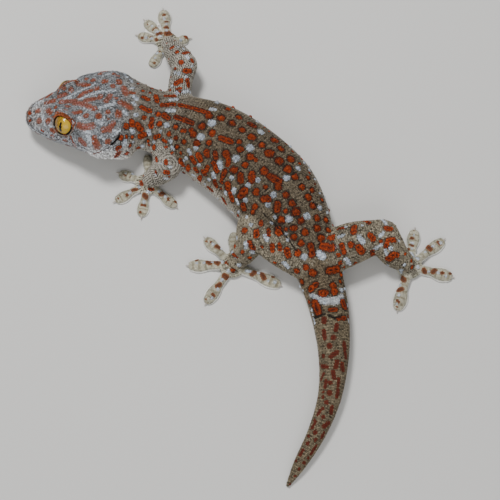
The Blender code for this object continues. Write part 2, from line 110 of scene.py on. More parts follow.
# Soft swellings of the skull: distance from the snout, angle above the side, their spreads, height
swellings = {
    "brow": (18.0, 50, 6.0, 20, 1.1), "eyeRear": (24.0, 42, 3.6, 16, 0.7),
    "snoutRidge": (9.5, 52, 4.5, 14, 0.5), "foreheadDip": (17.0, 90, 6.0, 16, -0.5),
    "templeDip": (25.5, 62, 3.0, 20, -0.4), "occiput": (37.0, 66, 5.5, 20, 0.7),
    "cheek": (34.0, 8, 6.0, 26, 0.6), "throatPouch": (43.0, -38, 5.0, 24, 2.6),
    "pouchCorner": (46.8, -16, 2.6, 24, 1.9), "jawSide": (33.0, -18, 7.0, 22, 1.3),
    "snoutSideDip": (7.5, 30, 3.5, 22, -0.4),
}

# Legs: path from inside the body to the far joint as x, y, z, half width, half height;
# palm as x, y, radius, height; toes as heading in degrees, reach, width of the pad
legs = {
    "frontRight": {
        "upper": [(-30.0, 26.0, 8.5, 5.4, 4.8), (-29.8, 36.0, 9.6, 5.0, 4.6), (-27.8, 44.8, 10.6, 5.4, 4.8)],
        "lower": [(-27.8, 44.8, 10.6, 5.4, 4.8), (-31.8, 51.4, 8.0, 5.0, 4.3), (-35.6, 58.3, 3.6, 3.1, 2.5)],
        "palm": (-35.9, 59.2, 4.6, 3.3),
        "toes": [(237, 14.1, 5.2), (165, 14.4, 5.4), (134, 15.3, 5.6), (98, 16.5, 6.4), (12, 9.9, 4.8)],
    },
    "frontLeft": {
        "upper": [(-36.6, 16.0, 8.5, 5.6, 5.0), (-36.0, 7.0, 9.8, 5.3, 4.8), (-34.6, -0.6, 10.4, 5.9, 5.2)],
        "lower": [(-34.6, -0.6, 10.4, 5.9, 5.2), (-38.6, -2.9, 7.4, 5.0, 4.4), (-43.2, -4.3, 3.6, 3.2, 2.6)],
        "palm": (-43.5, -5.1, 4.7, 3.3),
        "toes": [(91, 13.8, 4.3), (159, 13.9, 5.6), (210, 16.6, 5.4), (261, 15.7, 5.6), (320, 16.9, 5.2)],
    },
    "hindLeft": {
        "upper": [(24.0, -41.5, 8.6, 8.2, 6.6), (12.0, -34.0, 9.6, 8.6, 6.8), (1.0, -27.0, 10.6, 6.4, 5.8)],
        "lower": [(1.0, -27.0, 10.6, 6.4, 5.8), (-0.8, -34.2, 8.0, 6.0, 5.0), (-6.2, -40.2, 3.8, 4.0, 2.9)],
        "palm": (-7.4, -41.0, 5.0, 3.4),
        "toes": [(87, 15.4, 5.2), (134, 17.5, 5.4), (180, 19.6, 6.0), (236, 20.7, 5.8), (337, 23.2, 6.0)],
    },
    "hindRight": {
        "upper": [(30.0, -38.8, 8.6, 9.0, 6.8), (42.5, -33.6, 9.6, 8.8, 6.9), (55.0, -30.4, 10.8, 6.6, 5.8)],
        "lower": [(55.0, -30.4, 10.8, 6.6, 5.8), (59.2, -37.0, 8.0, 6.2, 5.0), (65.4, -41.0, 3.8, 4.0, 2.9)],
        "palm": (66.5, -41.5, 5.0, 3.4),
        "toes": [(121, 14.1, 5.2), (80, 17.4, 6.0), (38, 20.1, 5.6), (346, 19.6, 6.2), (254, 20.6, 6.4)],
    },
}

# One toe from its root to the tip: share of the reach, half width as a share of the pad's,
# thickness of the pad's edge, height of the ridge along its middle
toeShape = {
    "root": (0.00, 0.62, 2.2, 0.8), "knuckle": (0.30, 0.58, 1.6, 0.9), "neck": (0.48, 0.62, 1.0, 1.1),
    "padStart": (0.60, 0.88, 0.75, 1.1), "pad": (0.72, 1.00, 0.70, 1.0), "padEnd": (0.82, 0.86, 0.70, 0.9),
    "tip": (0.89, 0.66, 0.70, 0.7), "end": (0.935, 0.36, 0.55, 0.45),
}
# Its section: squareness of the sides, roundness of the edge, width of the ridge, height of the
# edge's middle, share of the height that shows above it, how far a larger toe grows upwards
toeSection = {"sides": 0.8, "edge": 0.7, "ridge": 1.5, "middle": 0.35, "above": 0.9, "grow": 0.6}
# A palm from the floor up to its top: share of the radius, share of the height
palmShape = [(0.80, 0.0), (1.0, 0.22), (1.0, 0.45), (0.86, 0.75), (0.55, 0.95), (0.18, 1.0)]
# Rows along and sides round the tube of each kind of part
tubeFaces = {"body": (420, 120), "upper": (90, 48), "lower": (90, 48), "palm": (14, 48), "toe": (44, 28)}


def smoothCurve(keys, rows, x):
    # Smooth curve through rows of values that stand at the keys, read at every x
    keys, rows, x = np.asarray(keys, float), np.asarray(rows, float), np.asarray(x, float)
    last = len(keys) - 1
    low, high = np.maximum(np.arange(last + 1) - 1, 0), np.minimum(np.arange(last + 1) + 1, last)
    slopes = (rows[high] - rows[low]) / (keys[high] - keys[low])[:, None]
    i = np.clip(np.searchsorted(keys, x, side="right") - 1, 0, last - 1)
    span = (keys[i + 1] - keys[i])[..., None]
    f = np.clip((x[..., None] - keys[i][..., None]) / span, 0, 1)
    value = ((2 * f**3 - 3 * f**2 + 1) * rows[i] + (f**3 - 2 * f**2 + f) * slopes[i] * span
             + (3 * f**2 - 2 * f**3) * rows[i + 1] + (f**3 - f**2) * slopes[i + 1] * span)
    return np.moveaxis(value, -1, 0)


landmarks = np.array(list(body.values()))
steps = np.hypot(*np.diff(landmarks[:, :2], axis=0).T)
distances = np.concatenate([[0], np.cumsum(steps)])
bodyLength = distances[-1]


def lengths(vectors):
    return np.linalg.norm(vectors, axis=-1)


def runAlong(points):
    # Distance along a path at each of its points
    return np.concatenate([[0], np.cumsum(lengths(np.diff(points, axis=0)))])


def unit(vectors):
    return vectors / np.maximum(lengths(vectors)[..., None], 1e-9)


def signedPower(value, exponent):
    return np.sign(value) * np.abs(value) ** exponent


def bump(value, middle, spread):
    return np.exp(-((value - middle) / spread) ** 2)


def ease(value, low, high):
    # 0 at low, 1 at high and smooth between
    f = np.clip((value - low) / (high - low), 0, 1)
    return f * f * (3 - 2 * f)


def bodyPoint(s, angle):
    # Point of the skin: s from the snout, angle 0 is the animal's left side, 90 degrees its back
    s, angle = np.broadcast_arrays(np.asarray(s, float), np.asarray(angle, float))
    x, y, half, height, lift, level, square, roll = smoothCurve(distances, landmarks, s)
    ahead, behind = (smoothCurve(distances, landmarks[:, :2], s + d) for d in (-0.5, 0.5))
    back = unit(np.stack([behind[0] - ahead[0], behind[1] - ahead[1]], -1))
    across = half * signedPower(np.cos(angle), 2 / square)
    reach = np.where(np.sin(angle) > 0, height * (1 - level), height * level * bellyFlat)
    above = reach * signedPower(np.sin(angle), 2 / square)
    size = np.hypot(across, above) + 1e-9
    degrees = np.degrees(np.arcsin(np.sin(angle)))
    swell = sum(h * bump(s, at, spread) * bump(degrees, up, turn)
                for at, up, spread, turn, h in swellings.values())
    across, above = across * (1 + swell / size), above * (1 + swell / size)
    turn = np.radians(roll)
    side = across * np.cos(turn) - above * np.sin(turn)
    up = across * np.sin(turn) + above * np.cos(turn) + lift + height * level
    return np.stack([x + back[..., 1] * side, y - back[..., 0] * side, np.maximum(up, 0)], -1)


def legPoint(path, v, angle):
    # Point of a leg's tube: v from 0 to 1 along it, the round ends at -1..0 and 1..2
    path = np.array(path)
    keys = runAlong(path[:, :3])
    share = np.clip(v, 0, 1)
    past = v - share
    here = smoothCurve(keys, path, share * keys[-1])
    near = smoothCurve(keys, path, np.clip(share - 0.05, 0, 1) * keys[-1])
    far = smoothCurve(keys, path, np.clip(share + 0.05, 0, 1) * keys[-1])
    along = unit(np.moveaxis(far[:3] - near[:3], 0, -1))
    side = unit(np.cross(along, (0, 0, 1)))
    up = np.cross(side, along)
    wide, high = here[3][..., None], here[4][..., None]
    close = np.sqrt(np.maximum(1 - past**2, 0.0009))[..., None]
    point = np.moveaxis(here[:3], 0, -1) + along * past[..., None] * np.minimum(wide, high)
    point = point + (side * np.cos(angle)[..., None] * wide + up * np.sin(angle)[..., None] * high) * close
    point[..., 2] = np.maximum(point[..., 2], 0)
    return point


def toePoint(palm, toe, v, angle, grow=0.0):
    # Point of a toe: a flat pad with thin edges and a ridge along its middle
    heading, reach, pad = toe
    way = np.array([math.cos(math.radians(heading)), math.sin(math.radians(heading)), 0])
    side = np.array([-way[1], way[0], 0])
    keys = [row[0] for row in toeShape.values()]
    share = v * keys[-1]
    wide, edge, ridge = smoothCurve(keys, [row[1:] for row in toeShape.values()], share)
    cosine, sine = np.cos(angle), np.sin(angle)
    across = (pad / 2 * wide + grow) * signedPower(cosine, toeSection["sides"])
    top = edge * np.abs(sine) ** toeSection["edge"]
    top = top + ridge * np.exp(-(across / toeSection["ridge"]) ** 2) * np.abs(sine)
    middle = edge * toeSection["middle"]
    above = middle + (top + grow * toeSection["grow"]) * toeSection["above"]
    up = np.where(sine > 0, above, middle * (1 - np.abs(sine)))
    along = way * (reach * share)[..., None]
    base = np.array([palm[0], palm[1], 0])
    return base + along + side * across[..., None] + np.array([0, 0, 1]) * up[..., None]


def palmPoint(palm, v, angle):
    x, y, radius, height = palm
    reach, level = smoothCurve(np.linspace(0, 1, len(palmShape)), palmShape, v)
    reach = reach * radius
    return np.stack([x + reach * np.cos(angle), y + reach * np.sin(angle), height * level], -1)


# Every part of the skin: name, kind, a function of (v along, angle round)
parts = [("body", "body", lambda v, angle: bodyPoint(v * bodyLength, angle))]
for legName, leg in legs.items():
    for piece in ("upper", "lower"):
        parts.append((legName + piece, piece,
                      lambda v, angle, path=leg[piece]: legPoint(path, v * 3 - 1, angle)))
    parts.append((legName + "palm", "palm", lambda v, angle, palm=leg["palm"]: palmPoint(palm, v, angle)))
    for toe in leg["toes"]:
        parts.append((legName + "toe", "toe", lambda v, angle, grow=0.0, palm=leg["palm"], toe=toe:
                      toePoint(palm, toe, v, angle, grow)))
partLeg = [next((i for i, leg in enumerate(legs) if name.startswith(leg)), -1) for name, *_ in parts]


def newObject(name, bm, smooth=True):
    mesh = bpy.data.meshes.new(name)
    bm.to_mesh(mesh)
    bm.free()
    if smooth:
        mesh.shade_smooth()
    thing = bpy.data.objects.new(name, mesh)
    bpy.context.scene.collection.objects.link(thing)
    return thing


def vertPlaces(bm):
    return np.array([vert.co for vert in bm.verts])


def wrapGrid(bm, place, rows, sides):
    # A grid wrapped into a closed tube, its seam along the underside
    grid = bmesh.ops.create_grid(bm, x_segments=sides, y_segments=rows - 1, size=1.0)["verts"]
    flat = np.array([vert.co for vert in grid])
    points = place((flat[:, 1] + 1) / 2, (flat[:, 0] + 1) * math.pi - math.pi / 2)
    for vert, point in zip(grid, points * mm):
        vert.co = point
    bmesh.ops.remove_doubles(bm, verts=grid, dist=1e-7)


def partLookup():
    # Tree over every part's own surface, to find which part a point lies on and where
    coords, faces, where = [], [], []
    for number, (_, kind, place) in enumerate(parts):
        rows, sides = tubeFaces[kind]
        v, turn = np.meshgrid(np.linspace(0, 1, rows), np.linspace(0, 1, sides + 1), indexing="ij")
        start = len(coords)
        coords.extend(place(v.ravel(), turn.ravel() * math.tau - math.pi / 2).tolist())
        where.extend(zip([number] * v.size, v.ravel(), turn.ravel()))
        a = (np.arange(rows - 1)[:, None] * (sides + 1) + np.arange(sides)).ravel() + start
        faces.extend(np.stack([a, a + 1, a + sides + 2, a + sides + 1], 1).tolist())
    tree = BVHTree.FromPolygons(coords, faces)
    return tree, np.array(coords), faces, np.array(where)


partTree = partLookup()


def nearestPart(points):
    # For each point the number of the part, v along it and its turn (0 to 1, 0.5 is the back)
    tree, coords, faces, where = partTree
    found = np.zeros((len(points), 3))
    for i, point in enumerate(points):
        spot, _, face, _ = tree.find_nearest(Vector(point))
        corners = faces[face]
        weights = np.array(poly_3d_calc([Vector(coords[c]) for c in corners], spot))
        found[i] = weights @ where[corners]
    found[:, 0] = np.round(found[:, 0])
    return found


print("part surfaces ready")

# Size of the skin's faces and rounds of smoothing, for the trunk, for hands and feet and round the wrists
skinShape = {"voxel": 0.78, "smoothing": 4, "handVoxel": 0.35, "handSmoothing": 3, "toeGrow": 0.28,
             "wrist": 4.0, "wristSmoothing": 5, "sinkUnderScales": 0.12, "flat": 0.10}


def fuseParts(wanted, voxel, smoothing, withEyes=False):
    # Parts of some kinds as closed tubes, fused to one closed form by modifiers
    bm = bmesh.new()
    for _, kind, place in parts:
        if kind == "toe" and kind in wanted:   # a little larger, as the smoothing takes it off again
            wrapGrid(bm, lambda v, angle: place(v, angle, skinShape["toeGrow"]), *tubeFaces[kind])
        elif kind in wanted:
            wrapGrid(bm, place, *tubeFaces[kind])
    bmesh.ops.holes_fill(bm, edges=bm.edges[:], sides=0)
    for sign in (1, -1) if withEyes else ():
        centre, _ = eyeFrame(sign)
        bmesh.ops.create_uvsphere(bm, u_segments=48, v_segments=32,
                                  radius=(eyes["radius"] + eyes["orbit"]) * mm,
                                  matrix=Matrix.Translation(Vector(centre) * mm))
    bmesh.ops.recalc_face_normals(bm, faces=bm.faces[:])
    blank = newObject("blank", bm)
    fuse = blank.modifiers.new("fuse", "REMESH")
    fuse.mode = "VOXEL"
    fuse.voxel_size = voxel * mm
    soften = blank.modifiers.new("soften", "SMOOTH")
    soften.factor, soften.iterations = 0.5, smoothing
    return blank


def makeSkinBlank():
    # Trunk and legs with coarse faces, hands and feet with fine ones, joined to one skin
    trunk = fuseParts(("body", "upper", "lower"), skinShape["voxel"], skinShape["smoothing"], True)
    hands = fuseParts(("palm", "toe"), skinShape["handVoxel"], skinShape["handSmoothing"])
    join = trunk.modifiers.new("join", "BOOLEAN")
    join.operation, join.solver, join.object = "UNION", "MANIFOLD", hands
    mesh = bpy.data.meshes.new_from_object(trunk.evaluated_get(bpy.context.evaluated_depsgraph_get()))
    bpy.data.objects.remove(trunk)
    bpy.data.objects.remove(hands)
    bm = bmesh.new()
    bm.from_mesh(mesh)
    middles = np.array([leg["lower"][-1][:3] for leg in legs.values()])
    points = vertPlaces(bm) / mm
    near = lengths(points[:, None] - middles).min(1) < skinShape["wrist"]
    wrists = [vert for vert, chosen in zip(bm.verts, near) if chosen]
    for _ in range(skinShape["wristSmoothing"]):
        bmesh.ops.smooth_vert(bm, verts=wrists, factor=0.5,
                              use_axis_x=True, use_axis_y=True, use_axis_z=True)
    bm.to_mesh(mesh)
    bm.free()
    mesh.materials.clear()
    return mesh


# Eyes: place as distance from the snout, to the side and up, and the way they look, ahead and up in
# degrees; heights and widths of the lids; the bulge round an eye stands out by the orbit
eyes = {"radius": 4.9, "place": (18.1, 8.7, 4.9), "look": (26, 32), "orbit": 0.5,
        "opening": (4.55, 4.0), "slant": 20, "upperLid": 0.95, "lowerLid": 0.5, "lidEnds": (-0.3, 0.6),
        "lidWidth": 0.36, "lidEdge": 0.10, "lidFade": (1.18, 1.55), "lidReach": 1.6, "behindBall": 0.45}


def headPlace(s, across, above):
    # Point to the left of the skull's axis and above its widest line
    x, y, _, height, lift, level, _, roll = smoothCurve(distances, landmarks, s)
    turn = math.radians(roll)
    left = across * math.cos(turn) - above * math.sin(turn)
    up = across * math.sin(turn) + above * math.cos(turn)
    return np.array([x, y - left, up + lift + height * level])


def eyeFrame(sign):
    # Centre of an eye and the way it looks, sign 1 for the left eye
    s, across, above = eyes["place"]
    centre = headPlace(s, sign * across, above)
    ahead, up = (math.radians(value) for value in eyes["look"])
    beside = headPlace(s, sign * (across + math.cos(up)), above + math.sin(up)) - centre
    return centre, unit(beside * math.cos(ahead) + np.array([-math.sin(ahead), 0, 0]))


def eyeAxes(sign):
    # The opening's long way, its short way (up) and the way the eye looks
    centre, look = eyeFrame(sign)
    back = unit(np.array([1.0, 0, 0]) - look * look[0])
    up = np.cross(look, back) * sign
    if up[2] < 0:
        up = -up
    slant = math.radians(eyes["slant"])
    along = back * math.cos(slant) - up * math.sin(slant)
    return centre, along, up * math.cos(slant) + back * math.sin(slant), look


blankMesh = makeSkinBlank()
print("skin blank:", len(blankMesh.polygons), "faces")

# Head details, in millimetres and degrees; a rim is its height, its distance and its width
mouth = {"corner": 27.0, "front": 0.5, "angle": -14, "cornerTurn": 7, "bow": 0.8, "ahead": 0.9,
         "groove": 0.45, "grooveWidth": 0.30, "lip": (0.28, 0.85, 0.6)}
nostril = {"place": (1.9, 55), "radius": 0.62, "depth": 0.8, "rim": (0.18, 1.054, 0.45)}
cheekFold = {   # pixels of the fold from under the eye round the cheek, of the ear slit and the nape's fold
    "fold": [(70.5, 136.4), (74.7, 144.0), (79.6, 149.7), (87.0, 153.4), (94.4, 153.4), (101.4, 151.1),
             (107.7, 148.3), (112.6, 144.1)],
    "ear": [(112.0, 144.4), (115.6, 141.2), (119.3, 137.2)],
    "neck": [(137.0, 150.5), (141.0, 147.5), (146.0, 142.0), (149.5, 136.5)],
    "foldDepth": 0.38, "foldWidth": 0.40, "foldRim": (0.18, 1.1, 0.8), "earDepth": 1.5, "earWidth": 0.50,
    "earRim": (0.25, 1.2, 0.7), "neckDepth": 0.5, "neckWidth": 0.7,
}
toeRims = (4.5, 24, 3.2)   # where toes are: distance from a palm's middle, and their height
headBehind = {"sculpt": -42, "bare": -44, "lids": -64}   # x where the head ends for each job


def fromRod(points, a, b):
    # Distance from each point to the line between two ends, and how far along its nearest place is
    f = np.clip((points - a) @ (b - a) / max((b - a) @ (b - a), 1e-9), 0, 1)
    return lengths(points - a - f[:, None] * (b - a)), f


def alongPath(points, path):
    # The same for a path of many lines
    best, where = np.full(len(points), 1e9), np.zeros(len(points))
    for i, (a, b) in enumerate(zip(path, path[1:])):
        gap, f = fromRod(points, a, b)
        closer = gap < best
        best[closer], where[closer] = gap[closer], (i + f[closer]) / (len(path) - 1)
    return best, where


def mouthPath():
    # From the left corner of the mouth round the snout to the right corner
    share = np.linspace(0, 1, 60)
    s = mouth["corner"] + (mouth["front"] - mouth["corner"]) * share ** mouth["bow"]
    angle = np.radians(mouth["angle"] + mouth["cornerTurn"] * (1 - share) ** 3)
    left, right = bodyPoint(s, angle), bodyPoint(s, math.pi - angle)
    front = (left[-1] + right[-1]) / 2 - np.array([mouth["ahead"], 0, 0])
    return np.concatenate([left, [front], right[::-1]])


def sidePoint(sign, s, above):
    angle = np.radians(above) if sign > 0 else math.pi - np.radians(above)
    return bodyPoint(s, angle)


def meshArrays(mesh):
    points = np.empty(len(mesh.vertices) * 3)
    mesh.vertices.foreach_get("co", points)
    normals = np.empty(len(mesh.vertices) * 3)
    mesh.vertex_normals.foreach_get("vector", normals)
    return points.reshape(-1, 3) / mm, normals.reshape(-1, 3)


def makeTree(mesh):
    points, _ = meshArrays(mesh)
    return BVHTree.FromPolygons(points.tolist(), [tuple(face.vertices) for face in mesh.polygons])


def seen(tree, pixels):
    # Points of the skin that show at these pixels; a pixel that misses the skin is left out
    hits = [tree.ray_cast(Vector(eyePoint), pixelRay(*pixel))[0] for pixel in pixels]
    return np.array([hit for hit in hits if hit is not None])


def mirrored(points):
    # The same places on the right side of the body
    found = nearestPart(points)
    return bodyPoint(found[:, 1] * bodyLength, math.pi - (found[:, 2] * math.tau - math.pi / 2))


blankTree = makeTree(blankMesh)
paths = {"mouth": [mouthPath()], "plates": [mouthPath()[5:-5]]}
for key in ("fold", "ear", "neck"):
    line = seen(blankTree, cheekFold[key])
    paths[key] = [line, mirrored(line)]


def nearAny(points, lines, reach):
    near = np.zeros(len(points), bool)
    for line in lines:
        inside = np.all((points > line.min(0) - reach) & (points < line.max(0) + reach), axis=1)
        gap, _ = alongPath(points[inside], line)
        near[np.flatnonzero(inside)[gap < reach]] = True
    return near


def eyeShare(points, sign):
    # Place in front of an eye: 1 on the rim of the opening, how far up it is, and the way from its centre
    centre, along, up, look = eyeAxes(sign)
    off = points - centre
    a, b, c = off @ along, off @ up, off @ look
    share = np.hypot(a / eyes["opening"][0], b / eyes["opening"][1])
    share[c < 0] = 9
    return share, b / np.maximum(np.hypot(a, b), 1e-6), off


# Rounds of smaller faces by their reach from a groove, and the band on an eye's rim that gets them
finer = {"reaches": (1.3, 0.75, 0.0), "rim": (0.9, 1.08), "wider": 0.3, "nostril": 0.8}


def refineSkin(mesh):
    # Smaller faces round the eyes, mouth, nostrils, ears and folds
    bm = bmesh.new()
    bm.from_mesh(mesh)
    for reach in finer["reaches"]:
        points = vertPlaces(bm) / mm
        near = np.zeros(len(points), bool)
        if reach:
            near = nearAny(points, paths["mouth"] + paths["fold"] + paths["ear"], reach)
        for sign in (1, -1):
            share, *_ = eyeShare(points, sign)
            inner, outer = finer["rim"]
            near |= (share < outer + reach * finer["wider"]) & (share > inner - reach * finer["wider"])
            spot = sidePoint(sign, *nostril["place"])
            near |= lengths(points - spot) < max(reach * 1.3, finer["nostril"])
        bm.verts.ensure_lookup_table()
        chosen = [edge for edge in bm.edges if near[edge.verts[0].index] and near[edge.verts[1].index]]
        bmesh.ops.subdivide_edges(bm, edges=chosen, cuts=1, use_grid_fill=True)
        bm.verts.index_update()
    bmesh.ops.triangulate(bm, faces=[face for face in bm.faces if len(face.verts) > 4])
    bm.to_mesh(mesh)
    bm.free()


def raised(gap, rim):
    # Height of a rim beside a groove
    height, off, width = rim
    return height * bump(gap, off, width)


def sculptSkin(mesh):
    # Grooves, lips, lids, nostrils, ears and folds, pushed in or out along the skin's own normals
    points, normals = meshArrays(mesh)
    push = np.full(len(points), -skinShape["sinkUnderScales"])
    head = points[:, 0] < headBehind["sculpt"]
    gap, where = alongPath(points[head], paths["mouth"][0])
    fade = ease(where, 0, 0.05) * ease(1 - where, 0, 0.05)
    push[head] -= mouth["groove"] * bump(gap, 0, mouth["grooveWidth"]) * fade
    push[head] += raised(gap, mouth["lip"]) * fade
    for key in ("fold", "ear"):
        for line in paths[key]:
            gap, where = alongPath(points[head], line)
            fade = ease(where, 0, 0.2) if key == "fold" else 1
            push[head] -= cheekFold[key + "Depth"] * bump(gap, 0, cheekFold[key + "Width"]) * fade
            push[head] += raised(gap, cheekFold[key + "Rim"])
    for line in paths["neck"]:
        gap, where = alongPath(points, line)
        fade = ease(where, 0, 0.3), ease(1 - where, 0, 0.3)
        push -= cheekFold["neckDepth"] * bump(gap, 0, cheekFold["neckWidth"]) * fade[0] * fade[1]
    for sign in (1, -1):
        spot = sidePoint(sign, *nostril["place"])
        gap = lengths(points - spot)
        push -= nostril["depth"] * bump(gap, 0, nostril["radius"])
        push += raised(gap, nostril["rim"])
    middles = np.array([leg["palm"][:2] for leg in legs.values()])
    away = lengths(points[:, None, :2] - middles).min(1)
    start, end, height = toeRims   # the toes' rims carry no scales
    push[(away > start) & (away < end) & (points[:, 2] < height) & ~head] = 0.0
    points = points + normals * push[:, None]
    for sign in (1, -1):
        share, up, off = eyeShare(points, sign)
        distance = lengths(off)
        lid = eyes["lowerLid"] + (eyes["upperLid"] - eyes["lowerLid"]) * ease(up, *eyes["lidEnds"])
        inside = share < 1
        swell = np.sin(np.clip((share - 1) / eyes["lidWidth"], 0, 1) * math.pi) ** 0.6
        rim = eyes["radius"] + eyes["lidEdge"] + lid * swell
        wanted = np.where(inside, eyes["radius"] - eyes["behindBall"], rim)
        blend = np.where(inside, 1, 1 - ease(share, *eyes["lidFade"]))
        reach = distance + (wanted - distance) * blend
        near = share < eyes["lidReach"]
        points[near] = (points - off + unit(off) * reach[:, None])[near]
    points[:, 2] = np.maximum(points[:, 2], skinShape["flat"])
    mesh.vertices.foreach_set("co", (points * mm).ravel())
    mesh.update()


refineSkin(blankMesh)
sculptSkin(blankMesh)
skin = bpy.data.objects.new("skin", blankMesh)
bpy.context.scene.collection.objects.link(skin)
blankMesh.shade_smooth()
skinTree = makeTree(blankMesh)
print("skin sculpted:", len(blankMesh.polygons), "faces")

